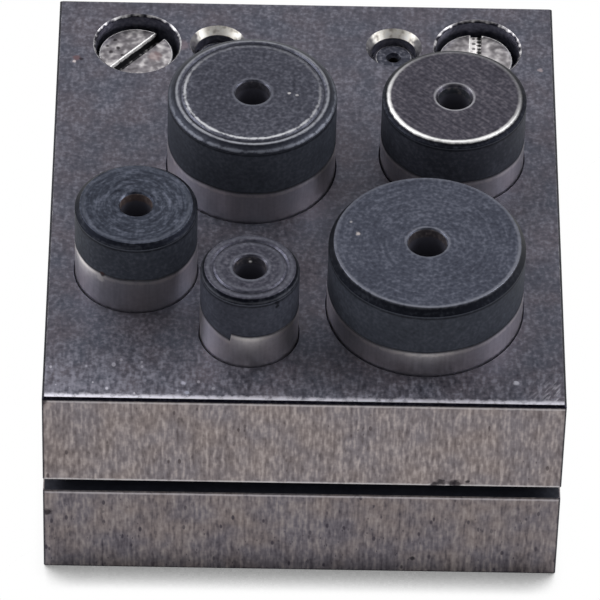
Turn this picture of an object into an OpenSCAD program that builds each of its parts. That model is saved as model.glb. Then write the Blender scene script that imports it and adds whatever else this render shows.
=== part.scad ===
// Disc cutter for sheet metal, of the kind that jewellers use on a bench.
// Two steel plates are screwed together a slot apart. A sheet goes into the slot, and a round punch
// that is driven down through the upper plate shears a disc out of it, in the matching die below.
// Sizes are in millimetres. The origin is the middle of the underside: +X is to the right, +Y is to
// the back, where the screws are, and +Z is up. The punches stand on the bench, as in storage.

/* [Plates] */
// Width of both plates, from side to side
block_w = 67; // [63:0.1:90]
// Depth of both plates, from front to back
block_d = 76.2; // [72:0.1:100]
// Thickness of the upper plate, which guides the punches
guide_t = 15; // [12:0.1:22]
// Thickness of the lower plate, which holds the dies
die_t = 14.3; // [12:0.1:22]
// Height of the slot for the sheet, which is the thickness of the spacers
slot_h = 2; // [1:0.1:4]
// Size of the broken edge round the top of the block
top_edge = 0.3; // [0.1:0.05:1]
// Size of the broken edges everywhere else on the plates
plate_edge = 0.15; // [0.1:0.05:0.8]

/* [Fit of the punches] */
// Gap all round each punch in the guide plate
guide_gap = 0.05; // [0.02:0.01:0.1]
// Gap all round each punch in its die
die_gap = 0.03; // [0.01:0.01:0.1]
// Width of the bevel at the top of each guide hole
guide_mouth_w = 0.15; // [0.1:0.05:0.8]
// Height of that bevel
guide_mouth_h = 0.25; // [0.1:0.05:1]
// Size of the bevel under each die hole, where the discs drop out
die_foot_edge = 0.5; // [0.1:0.05:1.5]
// Depth of the straight part of the hole in the top of each punch
hole_depth = 12; // [6:0.1:20]
// Size of the bevel at the mouth of that hole
hole_edge = 0.2; // [0.1:0.05:0.8]
// Full angle of the drill point at its bottom
drill_angle = 118; // [90:1:140]
// Width of the ring that the facing tool left on two of the punches
ring_w = 0.6; // [0.2:0.05:1]
// Depth of that ring
ring_depth = 0.15; // [0.05:0.05:0.5]

/* [Punch 1 inch] */
// Diameter of the punch, which is that of its disc
p1_d = 25.4; // [22:0.1:27]
// Length of the punch
p1_len = 42.9; // [38:0.1:60]
// Height of the blackened head
p1_head = 7.5; // [3:0.1:10]
// Diameter of the hole in its top
p1_hole_d = 5; // [3:0.1:8]
// Width of the bevel round its top
p1_bevel_w = 0.7; // [0.2:0.05:1.5]
// Height of that bevel
p1_bevel_h = 1; // [0.2:0.05:1.5]
// Centre of the punch, to the right of the middle of the block
p1_x = 15.5; // [14:0.1:17]
// Centre of the punch, behind the middle of the block
p1_y = -20.3; // [-22:0.1:-18]

/* [Punch 7/8 inch] */
// Diameter of the punch, which is that of its disc
p2_d = 22.225; // [20:0.1:24]
// Length of the punch
p2_len = 44.4; // [38:0.1:60]
// Height of the blackened head
p2_head = 7.9; // [3:0.1:10]
// Diameter of the hole in its top
p2_hole_d = 4.5; // [3:0.1:8]
// Width of the bevel round its top
p2_bevel_w = 1; // [0.2:0.05:1.5]
// Height of that bevel
p2_bevel_h = 0.7; // [0.2:0.05:1.5]
// Distance from its side in to the middle of the ring turned in its top
p2_ring_in = 1.65; // [1.4:0.05:6]
// Centre of the punch, to the right of the middle of the block
p2_x = -7.2; // [-9:0.1:-5]
// Centre of the punch, behind the middle of the block
p2_y = 5.9; // [4:0.1:8]

/* [Punch 3/4 inch] */
// Diameter of the punch, which is that of its disc
p3_d = 19.05; // [17:0.1:21]
// Length of the punch
p3_len = 42.1; // [38:0.1:60]
// Height of the blackened head
p3_head = 6.7; // [3:0.1:10]
// Diameter of the hole in its top
p3_hole_d = 4.3; // [3:0.1:8]
// Size of the bevel at the mouth of its hole, which is wider than on the others
p3_hole_edge = 0.4; // [0.1:0.05:0.8]
// Width of the bevel round its top
p3_bevel_w = 0.8; // [0.2:0.05:1.5]
// Height of that bevel
p3_bevel_h = 0.5; // [0.2:0.05:1.5]
// Centre of the punch, to the right of the middle of the block
p3_x = 19.4; // [18:0.1:21]
// Centre of the punch, behind the middle of the block
p3_y = 8.2; // [6:0.1:10]

/* [Punch 5/8 inch] */
// Diameter of the punch, which is that of its disc
p4_d = 15.875; // [14:0.1:17.5]
// Length of the punch
p4_len = 43; // [38:0.1:60]
// Height of the blackened head
p4_head = 6.1; // [3:0.1:10]
// Diameter of the hole in its top
p4_hole_d = 4.2; // [3:0.1:8]
// Width of the bevel round its top
p4_bevel_w = 0.65; // [0.2:0.05:1.5]
// Height of that bevel
p4_bevel_h = 0.55; // [0.2:0.05:1.5]
// Centre of the punch, to the right of the middle of the block
p4_x = -22; // [-23:0.1:-20]
// Centre of the punch, behind the middle of the block
p4_y = -14.3; // [-16:0.1:-13]

/* [Punch 1/2 inch] */
// Diameter of the punch, which is that of its disc
p5_d = 12.7; // [11:0.1:14]
// Length of the punch
p5_len = 43; // [38:0.1:60]
// Height of the blackened head
p5_head = 6.2; // [3:0.1:10]
// Diameter of the hole in its top
p5_hole_d = 4.2; // [3:0.1:6]
// Width of the bevel round its top
p5_bevel_w = 0.5; // [0.2:0.05:1]
// Height of that bevel
p5_bevel_h = 0.65; // [0.2:0.05:1.5]
// Distance from its side in to the middle of the ring turned in its top
p5_ring_in = 1.6; // [1.3:0.05:2.5]
// Centre of the punch, to the right of the middle of the block
p5_x = -7.2; // [-9:0.1:-6]
// Centre of the punch, behind the middle of the block
p5_y = -25.5; // [-27:0.1:-23]

/* [Screws] */
// Distance of each screw from the nearer side of the block
screw_side = 10.5; // [9:0.1:12]
// Distance of the screws from the back of the block
screw_back = 8.6; // [8:0.1:12]
// Outer diameter of the screw thread
screw_d = 6; // [5:0.05:7]
// Pitch of the screw thread
thread_pitch = 1; // [0.8:0.01:1.5]
// Diameter of the screw head
head_d = 10; // [8.5:0.1:11]
// Height of the screw head
head_h = 3.9; // [3:0.1:6]
// Size of the bevel round the top of the head
head_edge = 0.35; // [0.1:0.05:0.8]
// Depth of the top of the head below the top of the block
head_sink = 1.9; // [0.5:0.1:4]
// Width of the screwdriver slot
driver_slot_w = 1.5; // [1:0.1:2.5]
// Depth of the screwdriver slot
driver_slot_depth = 1.7; // [1:0.1:2.5]
// Direction of the slot of the left screw, in degrees from the front edge
left_slot_turn = 49; // [0:1:180]
// Direction of the slot of the right screw
right_slot_turn = 88; // [0:1:180]
// Gap all round the screw head in its counterbore
head_gap = 0.65; // [0.2:0.05:1.2]
// Distance by which each counterbore was bored too far to the right of its screw
counterbore_shift = 0.2; // [0:0.05:0.3]
// Size of the worn edge at the mouth of the counterbore
counterbore_edge = 0.3; // [0.1:0.05:0.5]
// Gap all round the screw in the guide plate and in its spacer
screw_gap = 0.2; // [0.1:0.05:0.6]
// Gap between the thread of the screw and that of the plate
thread_gap = 0.05; // [0.02:0.01:0.1]
// Height of the end of the screw above the underside
screw_foot = 5.2; // [0.5:0.1:8]
// Outer diameter of each spacer
spacer_d = 12; // [10:0.1:14]

/* [Dowels] */
// Distance of each dowel from the screw beside it, from side to side
dowel_pitch = 11.1; // [10.5:0.1:13]
// Distance of the dowels from the back of the block
dowel_back = 8.5; // [7:0.1:12]
// Diameter of each dowel
dowel_d = 6; // [5:0.05:6.5]
// Gap all round the dowel in the guide plate
dowel_gap = 0.02; // [0.01:0.01:0.05]
// Depth of the top of the dowel below the top of the block
dowel_sink = 1.9; // [1.5:0.1:4]
// Height of the lower end of the dowel above the underside
dowel_foot = 1.2; // [0.2:0.1:3]
// Size of the bevel at both ends of the dowel
dowel_edge = 0.6; // [0.2:0.05:1]
// Diameter of the pilot that the centre drill left in the top of the dowel
pilot_d = 1.3; // [0.8:0.1:1.8]
// Depth of that pilot
pilot_depth = 2.4; // [1.5:0.1:4]
// Diameter of the cone above the pilot
centre_d = 2; // [1.5:0.1:3.5]
// Width of the countersink at the top of each dowel hole
dowel_mouth_w = 0.8; // [0.2:0.05:1]
// Height of that countersink
dowel_mouth_h = 1.05; // [0.3:0.05:1.4]

/* [Hidden] */
$fn = 96;

// How far a cutter runs past the face that it starts from
over = 1;
// Half the angle of a thread groove, and of the cone that a centre drill makes
half_60 = 30;

ground_steel = [0.49, 0.46, 0.46];
blued_steel = [0.33, 0.33, 0.37];
black_steel = [0.16, 0.17, 0.20];
bright_steel = [0.72, 0.71, 0.70];

block_h = die_t + slot_h + guide_t;
guide_z = die_t + slot_h;
screw_x = block_w / 2 - screw_side;
screw_y = block_d / 2 - screw_back;
dowel_x = screw_x - dowel_pitch;
dowel_y = block_d / 2 - dowel_back;

head_top = block_h - head_sink;
head_seat = head_top - head_h;
counterbore_d = head_d + 2 * head_gap;
// The head stays clear of the wall of its counterbore
counterbore_x = min(counterbore_shift, head_gap - 0.1);
screw_hole_d = screw_d + 2 * screw_gap;
thread_flat = thread_pitch / 8;
thread_depth = (thread_pitch / 2 - thread_flat) / tan(half_60);

dowel_top = block_h - dowel_sink;
// The plates are bored to the dowel: a push fit above, and a press fit below
dowel_hole_d = dowel_d + 2 * dowel_gap;

// Diameter, length, head, hole, bevel width and height, ring (0 for none), edge of the hole, and centre
punch_1 = [p1_d, p1_len, p1_head, p1_hole_d, p1_bevel_w, p1_bevel_h, 0, hole_edge, [p1_x, p1_y]];
punch_7_8 = [p2_d, p2_len, p2_head, p2_hole_d, p2_bevel_w, p2_bevel_h, p2_ring_in, hole_edge, [p2_x, p2_y]];
punch_3_4 = [p3_d, p3_len, p3_head, p3_hole_d, p3_bevel_w, p3_bevel_h, 0, p3_hole_edge, [p3_x, p3_y]];
punch_5_8 = [p4_d, p4_len, p4_head, p4_hole_d, p4_bevel_w, p4_bevel_h, 0, hole_edge, [p4_x, p4_y]];
punch_1_2 = [p5_d, p5_len, p5_head, p5_hole_d, p5_bevel_w, p5_bevel_h, p5_ring_in, hole_edge, [p5_x, p5_y]];
punches = [punch_1, punch_7_8, punch_3_4, punch_5_8, punch_1_2];

function diameter(p) = p[0];
function length_of(p) = p[1];
function head_of(p) = p[2];
function hole_of(p) = p[3];
function bevel_w(p) = p[4];
function bevel_h(p) = p[5];
function ring_in(p) = p[6];
function hole_edge_of(p) = p[7];
function centre(p) = p[8];

// The side of a thread from z_top down, as [radius, height] points, n pitches long
function thread_side(r, z_top, n) = [
    for (i = [0 : n - 1], z = z_top - i * thread_pitch)
        each [
            [r, z],
            [r, z - thread_flat],
            [r - thread_depth, z - thread_pitch / 2],
            [r - thread_depth, z - thread_pitch / 2 - thread_flat],
        ]
];

// A rectangle with its corners cut at 45 degrees, centred in x and standing on y = 0: low is the
// size of the cut at its two lower corners, and high at the two upper ones
module bevelled_rect(w, h, low, high) {
    polygon([
        [-w / 2 + low, 0], [w / 2 - low, 0], [w / 2, low], [w / 2, h - high],
        [w / 2 - high, h], [-w / 2 + high, h], [-w / 2, h - high], [-w / 2, low],
    ]);
}

// A plate of thickness t with all twelve edges broken, the upper four by edge, standing on z = 0
module plate_blank(t, edge) {
    intersection() {
        translate([0, -block_d / 2, 0])
            linear_extrude(t)
                bevelled_rect(block_w, block_d, plate_edge, plate_edge);
        translate([0, block_d / 2, 0])
            rotate([90, 0, 0])
                linear_extrude(block_d)
                    bevelled_rect(block_w, t, plate_edge, edge);
        translate([-block_w / 2, 0, 0])
            rotate([90, 0, 90])
                linear_extrude(block_w)
                    bevelled_rect(block_d, t, plate_edge, edge);
    }
}

// Puts its children at the left and the right screw
module at_screws() {
    for (side = [-1, 1])
        translate([side * screw_x, screw_y, 0])
            children();
}

// Puts its children at the left and the right dowel
module at_dowels() {
    for (side = [-1, 1])
        translate([side * dowel_x, dowel_y, 0])
            children();
}

// A cutter for a hole that runs right through a plate of thickness t
module through_hole(d, t) {
    translate([0, 0, -over])
        cylinder(h = t + 2 * over, d = d);
}

// A cutter for the bevel at the mouth of a hole: the mouth is at z = 0, and the hole goes down
module mouth_bevel(d, w, h) {
    translate([0, 0, -h])
        cylinder(h = 2 * h, d1 = d, d2 = d + 4 * w);
}

// A cutter for a tapped hole that runs right through the lower plate
module tapped_hole() {
    r = screw_d / 2 + thread_gap;
    n = ceil((die_t + over) / thread_pitch);
    rotate_extrude()
        polygon(concat(
            [[0, die_t + over], [r, die_t + over]],
            thread_side(r, die_t, n),
            [[r, die_t - n * thread_pitch], [0, die_t - n * thread_pitch]]
        ));
}

// Lower plate, with the dies that the punches shear against
module die_plate() {
    color(ground_steel)
        difference() {
            plate_blank(die_t, plate_edge);
            for (p = punches)
                translate(centre(p)) {
                    through_hole(diameter(p) + 2 * die_gap, die_t);
                    mirror([0, 0, 1])
                        mouth_bevel(diameter(p) + 2 * die_gap, die_foot_edge, die_foot_edge);
                }
            at_screws() tapped_hole();
            at_dowels() through_hole(dowel_d, die_t);
        }
}

// What is cut out of the upper plate, with the plate's underside at z = 0
module guide_holes() {
    for (p = punches)
        translate(centre(p)) {
            through_hole(diameter(p) + 2 * guide_gap, guide_t);
            translate([0, 0, guide_t])
                mouth_bevel(diameter(p) + 2 * guide_gap, guide_mouth_w, guide_mouth_h);
        }
    at_screws() {
        through_hole(screw_hole_d, guide_t);
        translate([counterbore_x, 0, head_seat - guide_z])
            cylinder(h = head_sink + head_h + over, d = counterbore_d);
        translate([counterbore_x, 0, guide_t])
            mouth_bevel(counterbore_d, counterbore_edge, counterbore_edge);
    }
    at_dowels() {
        through_hole(dowel_hole_d, guide_t);
        translate([0, 0, guide_t])
            mouth_bevel(dowel_hole_d, dowel_mouth_w, dowel_mouth_h);
    }
}

// Upper plate, with the guide holes, the counterbores and the dowel holes
module guide_plate() {
    translate([0, 0, guide_z])
        color(blued_steel)
            difference() {
                plate_blank(guide_t, top_edge);
                guide_holes();
            }
}

// Washer that sets the height of the slot, round one screw
module spacer(side) {
    color(bright_steel)
        translate([side * screw_x, screw_y, die_t])
            difference() {
                cylinder(h = slot_h, d = spacer_d);
                through_hole(screw_hole_d, slot_h);
            }
}

// Dowel that lines the two plates up, with a centre hole in its top
module dowel(side) {
    r = dowel_d / 2;
    cone_h = (centre_d - pilot_d) / 2 / tan(half_60);
    pilot_end = dowel_top - pilot_depth;
    color(bright_steel)
        translate([side * dowel_x, dowel_y, 0])
            rotate_extrude()
                polygon([
                    [0, dowel_foot],
                    [r - dowel_edge, dowel_foot],
                    [r, dowel_foot + dowel_edge],
                    [r, dowel_top - dowel_edge],
                    [r - dowel_edge, dowel_top],
                    [centre_d / 2, dowel_top],
                    [pilot_d / 2, dowel_top - cone_h],
                    [pilot_d / 2, pilot_end],
                    [0, pilot_end - pilot_d / 2 / tan(drill_angle / 2)],
                ]);
}

// Slotted screw that holds the plates together; turn is the direction of its slot
module clamp_screw(side, turn) {
    r = screw_d / 2;
    n = floor((die_t - screw_foot) / thread_pitch);
    color(bright_steel)
        translate([side * screw_x, screw_y, 0])
            difference() {
                rotate_extrude()
                    polygon(concat(
                        [
                            [0, head_top],
                            [head_d / 2 - head_edge, head_top],
                            [head_d / 2, head_top - head_edge],
                            [head_d / 2, head_seat],
                            [r, head_seat],
                        ],
                        thread_side(r, die_t, n),
                        [
                            [r - thread_depth, die_t - n * thread_pitch],
                            [r - thread_depth, screw_foot],
                            [0, screw_foot],
                        ]
                    ));
                translate([0, 0, head_top - driver_slot_depth])
                    rotate([0, 0, turn])
                        translate([-head_d, -driver_slot_w / 2, 0])
                            cube([2 * head_d, driver_slot_w, driver_slot_depth + over]);
            }
}

// Body of a punch above height z: a cylinder with a bevelled top, scored with a ring if it has one
module punch_body(p, z) {
    r = diameter(p) / 2;
    top = length_of(p);
    ring = r - ring_in(p);
    scored = [[ring + ring_w / 2, top], [ring, top - ring_depth], [ring - ring_w / 2, top]];
    rotate_extrude()
        polygon(concat(
            [[0, z], [r, z], [r, top - bevel_h(p)], [r - bevel_w(p), top]],
            ring_in(p) == 0 ? [] : scored,
            [[0, top]]
        ));
}

// Blind hole in the top of a punch, as a drill leaves it
module punch_hole(p) {
    r = hole_of(p) / 2;
    top = length_of(p);
    edge = hole_edge_of(p);
    rotate_extrude()
        polygon([
            [0, top + edge],
            [r + 2 * edge, top + edge],
            [r, top - edge],
            [r, top - hole_depth],
            [0, top - hole_depth - r / tan(drill_angle / 2)],
        ]);
}

// Punch: a hardened cylinder with a bright shank and a blackened head, which stands on its cutting face
module punch(p) {
    neck = length_of(p) - head_of(p);
    translate(centre(p))
        difference() {
            union() {
                color(ground_steel) cylinder(h = neck, d = diameter(p));
                color(black_steel) punch_body(p, neck);
            }
            color(black_steel) punch_hole(p);
        }
}

die_plate();
guide_plate();
spacer(-1);  // spacer_left
spacer(1);  // spacer_right
dowel(-1);  // dowel_left
dowel(1);  // dowel_right
clamp_screw(-1, left_slot_turn);  // clamp_screw_left
clamp_screw(1, right_slot_turn);  // clamp_screw_right
punch(punch_1);  // punch_1_inch
punch(punch_7_8);  // punch_7_8_inch
punch(punch_3_4);  // punch_3_4_inch
punch(punch_5_8);  // punch_5_8_inch
punch(punch_1_2);  // punch_1_2_inch
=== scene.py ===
"""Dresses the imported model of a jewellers' disc cutter: two steel plates, screws, dowels and five punches.

The cutter stands on its underside with its slot to the front. Sizes in the dataclasses and formulas are in
millimetres, in the model's own frame, and become metres only where a mesh is built or a lamp is placed.
Surfaces are worked out as whole arrays: a profile is turned about an axis or carried round an outline.
"""

import logging
import math
from dataclasses import dataclass, field
from enum import Enum, IntEnum
from typing import Callable, Sequence

import bpy
import numpy as np
from mathutils import Matrix, Vector
from mathutils.geometry import tessellate_polygon


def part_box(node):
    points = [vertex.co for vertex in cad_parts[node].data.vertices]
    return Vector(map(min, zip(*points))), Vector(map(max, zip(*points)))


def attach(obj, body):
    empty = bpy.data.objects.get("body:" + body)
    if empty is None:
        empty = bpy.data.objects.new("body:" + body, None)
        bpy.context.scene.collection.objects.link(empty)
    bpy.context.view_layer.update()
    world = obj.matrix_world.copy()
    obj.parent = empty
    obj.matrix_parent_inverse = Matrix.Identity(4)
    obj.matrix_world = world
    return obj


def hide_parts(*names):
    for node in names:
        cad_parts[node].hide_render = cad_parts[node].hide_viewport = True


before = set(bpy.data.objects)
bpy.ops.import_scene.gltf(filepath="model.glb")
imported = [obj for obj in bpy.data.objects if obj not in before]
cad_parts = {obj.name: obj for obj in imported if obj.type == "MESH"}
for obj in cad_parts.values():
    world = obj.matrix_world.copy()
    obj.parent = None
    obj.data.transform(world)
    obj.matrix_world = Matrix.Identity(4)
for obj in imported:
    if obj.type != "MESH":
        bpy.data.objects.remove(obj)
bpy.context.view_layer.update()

log = logging.getLogger("disc_cutter")

MM = 0.001  # a millimetre, in metres
TAU = 2 * math.pi
FACETS = 256  # points round a large circle
ARC_STEPS = 5  # steps in a rounded corner
SOFT = 0.05  # radius of an edge that is only just broken
LAND = 0.1  # width of the ring of flat face that is made with the edge of a hole
HAIR = 0.001  # a gap that keeps two edges from being welded

Array = np.ndarray
Material = bpy.types.Material
Node = bpy.types.Node
Socket = bpy.types.NodeSocket
Colour = tuple[float, float, float, float]
Value = Socket | float | Sequence[float]


def tone(red: float, green: float, blue: float) -> Colour:
    """Turns a colour as a screen shows it into linear light: straight near black, then a power of 2.4.

    Args:
        red: Red, from 0 to 255.
        green: Green, from 0 to 255.
        blue: Blue, from 0 to 255.

    Returns:
        The colour as linear red, green and blue, with an alpha of 1.
    """
    shares = (level / 255 for level in (red, green, blue))
    linear = [c / 12.92 if c <= 0.04045 else ((c + 0.055) / 1.055) ** 2.4 for c in shares]
    return (linear[0], linear[1], linear[2], 1.0)


# ---------------------------------------------------------------------------------------------------------
# Surfaces
# ---------------------------------------------------------------------------------------------------------


@dataclass(frozen=True)
class Profile:
    """A line in a plane, with the outward normal at each of its points.

    Attributes:
        points: (n, 2) points: distance from the axis and height, or x and y for an outline.
        normals: (n, 2) unit normals, to the right of the line's direction.
        spans: For each step from one point to the next, the number of the side or corner it belongs to:
            2 * k on the side after corner k of the drawn line, and 2 * k - 1 on the arc at corner k.
    """

    points: Array
    normals: Array
    spans: Array


def rounded(corners: Sequence[Sequence[float]], radius: float | Sequence[float],
            closed: bool = False) -> Profile:
    """Draws a line through the corners, with an arc in place of each corner.

    An arc of radius r that turns by the angle a starts and ends r * tan(a / 2) from its corner, so it runs
    into both sides without a kink, and the normals follow it.

    Args:
        corners: The points of the line.
        radius: Radius of every arc, or one for each corner.
        closed: Whether the line runs on from its last point to its first.

    Returns:
        The line with its arcs.
    """
    drawn = np.array(corners, float)
    count = len(drawn)
    radii = np.broadcast_to(np.array(radius, float), (count,))
    points, normals, spans = [], [], []
    for k in range(count):
        ahead = drawn[(k + 1) % count] - drawn[k]
        behind = drawn[k] - drawn[k - 1]
        ahead, behind = ahead / np.hypot(*ahead), behind / np.hypot(*behind)
        if not closed and k == 0:
            behind = ahead
        if not closed and k == count - 1:
            ahead = behind
        turn = math.atan2(behind[0] * ahead[1] - behind[1] * ahead[0], float(behind @ ahead))
        if abs(turn) < 1e-6:
            points.append(drawn[k][None])
            normals.append(np.array([[ahead[1], -ahead[0]]]))
            spans += [2 * k]
            continue
        start = drawn[k] - behind * radii[k] * math.tan(abs(turn) / 2)
        side = math.copysign(1, turn)
        centre = start + side * radii[k] * np.array([-behind[1], behind[0]])
        angles = turn * np.linspace(0, 1, ARC_STEPS + 1)
        from_x, from_y = behind[1], -behind[0]
        outward = np.stack([from_x * np.cos(angles) - from_y * np.sin(angles),
                            from_x * np.sin(angles) + from_y * np.cos(angles)], 1)
        points.append(centre + side * radii[k] * outward)
        normals.append(outward)
        spans += [2 * k - 1] * ARC_STEPS + [2 * k]
    return Profile(np.concatenate(points), np.concatenate(normals), np.array(spans))


@dataclass
class Skin:
    """Gathers the surfaces of one piece and makes them one mesh.

    Attributes:
        points: Blocks of (n, 3) points.
        normals: Blocks of (n, 3) normals, one for each point.
        quads: Blocks of (m, 4) point numbers.
        triangles: Blocks of (m, 3) point numbers.
        quad_slots: The material of each quad, in blocks.
        triangle_slots: The material of each triangle, in blocks.
        values: Named numbers at the points, in blocks.
    """

    points: list[Array] = field(default_factory=list)
    normals: list[Array] = field(default_factory=list)
    quads: list[Array] = field(default_factory=list)
    triangles: list[Array] = field(default_factory=list)
    quad_slots: list[Array] = field(default_factory=list)
    triangle_slots: list[Array] = field(default_factory=list)
    values: dict[str, list[Array]] = field(default_factory=dict)

    def _count(self) -> int:
        """Number of points so far."""
        return sum(len(block) for block in self.points)

    def grid(self, points: Array, normals: Array, slots: Array | int, wrap: bool = False,
             **values: Array) -> Array:
        """Adds a surface given on a grid that is closed across its columns.

        Args:
            points: (rows, columns, 3) points.
            normals: (rows, columns, 3) normals.
            slots: Material numbers, one for the grid or an array that spreads over its faces.
            wrap: Whether the last row joins the first.
            **values: Named numbers, which spread over (rows, columns).

        Returns:
            (rows, columns) numbers of the points.
        """
        rows, columns = points.shape[:2]
        index = self._count() + np.arange(rows * columns).reshape(rows, columns)
        below = index if wrap else index[:-1]
        above = np.roll(index, -1, 0) if wrap else index[1:]
        faces = np.stack([below, np.roll(below, -1, 1), np.roll(above, -1, 1), above], -1)
        self.points.append(points.reshape(-1, 3))
        self.normals.append(normals.reshape(-1, 3))
        self.quads.append(faces.reshape(-1, 4))
        self.quad_slots.append(np.broadcast_to(slots, faces.shape[:2]).reshape(-1))
        for name in set(values) | set(self.values):
            before = np.zeros(self._count() - rows * columns)
            blocks = self.values.setdefault(name, [before])
            blocks.append(np.broadcast_to(values.get(name, 0.0), (rows, columns)).reshape(-1))
        return index

    def flat(self, loops: Sequence[Array], slot: int, up: bool) -> None:
        """Fills the flat face between an outer loop and the holes in it.

        The face is cut into triangles that use the loops' own points, so it meets its neighbours exactly.

        Args:
            loops: Point numbers of the outer loop and of each hole.
            slot: Material number.
            up: Whether the face looks up.
        """
        every = np.concatenate(self.points)
        order = np.concatenate(loops)
        cut = tessellate_polygon([[Vector(p) for p in every[loop]] for loop in loops])
        faces = order[np.array(cut)]
        a, b, c = (every[faces[:, k]][:, :2] for k in range(3))
        area = (b - a)[:, 0] * (c - a)[:, 1] - (b - a)[:, 1] * (c - a)[:, 0]
        wrong = (area < 0) if up else (area > 0)
        faces[wrong] = faces[wrong][:, ::-1]
        faces = faces[area != 0]
        self.triangles.append(faces)
        self.triangle_slots.append(np.full(len(faces), slot))

    def build(self, name: str, materials: Sequence[Material]) -> bpy.types.Object:
        """Welds points that lie in one place and puts the piece into the scene.

        Args:
            name: Name of the piece.
            materials: Its materials, in the order of their numbers.

        Returns:
            The piece, at the origin, with its place in its mesh.
        """
        points, first, merged = np.unique(np.concatenate(self.points), axis=0, return_index=True,
                                          return_inverse=True)
        merged = merged.reshape(-1)
        normals = np.zeros_like(points)
        np.add.at(normals, merged, np.concatenate(self.normals))
        normals /= np.maximum(np.linalg.norm(normals, axis=1, keepdims=True), 1e-12)
        quads = merged[np.concatenate(self.quads)]
        slots = np.concatenate(self.quad_slots)
        # Where corner k falls on the next one, the quad becomes a triangle of the other three.
        pinched = [quads[:, k] == quads[:, (k + 1) % 4] for k in range(4)]
        whole = ~np.any(pinched, 0)
        kept = [(0, 2, 3), (0, 1, 3), (0, 1, 2), (0, 1, 2)]
        corners = [quads[whole]]
        faces_slots = [slots[whole]]
        for pinch, keep in zip(pinched, kept):
            corners.append(quads[pinch][:, keep])
            faces_slots.append(slots[pinch])
        if self.triangles:
            corners.append(merged[np.concatenate(self.triangles)])
            faces_slots.append(np.concatenate(self.triangle_slots))
        mesh = bpy.data.meshes.new(name)
        mesh.from_pydata((points * MM).tolist(), [], [f for block in corners for f in block.tolist()])
        mesh.polygons.foreach_set("material_index", np.concatenate(faces_slots).astype(np.int32))
        mesh.polygons.foreach_set("use_smooth", np.ones(len(mesh.polygons), bool))
        for material in materials:
            mesh.materials.append(material)
        for title, blocks in self.values.items():
            joined = np.concatenate(blocks)[first].astype(np.float32)
            mesh.attributes.new(title, "FLOAT", "POINT").data.foreach_set("value", joined)
        mesh.normals_split_custom_set_from_vertices(normals)
        mesh.update()
        piece = bpy.data.objects.new(name, mesh)
        bpy.context.scene.collection.objects.link(piece)
        return piece


def turned(profile: Profile, centre: Sequence[float], angles: Array) -> tuple[Array, Array]:
    """Turns a profile about an upright axis: (r cos a, r sin a, z) for every profile point and angle.

    Args:
        profile: Distances from the axis and heights.
        centre: x and y of the axis.
        angles: The angles, in radians.

    Returns:
        (rows, columns, 3) points and normals.
    """
    cos, sin = np.cos(angles)[None], np.sin(angles)[None]
    ones = np.ones_like(cos)
    radius, height = profile.points[:, :1], profile.points[:, 1:]
    points = np.stack([centre[0] + radius * cos, centre[1] + radius * sin, height * ones], -1)
    normals = np.stack([profile.normals[:, :1] * cos, profile.normals[:, :1] * sin,
                        profile.normals[:, 1:] * ones], -1)
    return points, normals


def carried(profile: Profile, outline: Callable[[float], Profile]) -> tuple[Array, Array]:
    """Carries a profile round an outline: at inset d the outline is drawn d inside itself.

    Args:
        profile: The inset, below zero, and the height of each row.
        outline: Draws the outline at a given inset, always with the same number of points.

    Returns:
        (rows, columns, 3) points and normals.
    """
    drawn = [outline(-reach) for reach in profile.points[:, 0]]
    flat = np.stack([line.points for line in drawn])
    across = np.stack([line.normals for line in drawn])
    height = np.broadcast_to(profile.points[:, 1:, None], (*flat.shape[:2], 1))
    points = np.concatenate([flat, height], -1)
    lift = np.broadcast_to(profile.normals[:, 1:, None], (*flat.shape[:2], 1))
    normals = np.concatenate([across * profile.normals[:, :1, None], lift], -1)
    return points, normals


def circle_angles(count: int = FACETS) -> Array:
    """Evenly spaced angles round a circle, the last one short of a full turn."""
    return TAU * np.arange(count) / count


def by_span(profile: Profile, slots: dict[int, int], usual: int) -> Array:
    """Gives each step of a profile its material.

    Args:
        profile: The profile.
        slots: Material number for some of its spans.
        usual: Material number for all others.

    Returns:
        (steps, 1) material numbers, one less than the profile has points.
    """
    return np.array([slots.get(int(span), usual) for span in profile.spans[:-1]])[:, None]


# ---------------------------------------------------------------------------------------------------------
# Materials
# ---------------------------------------------------------------------------------------------------------


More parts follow.
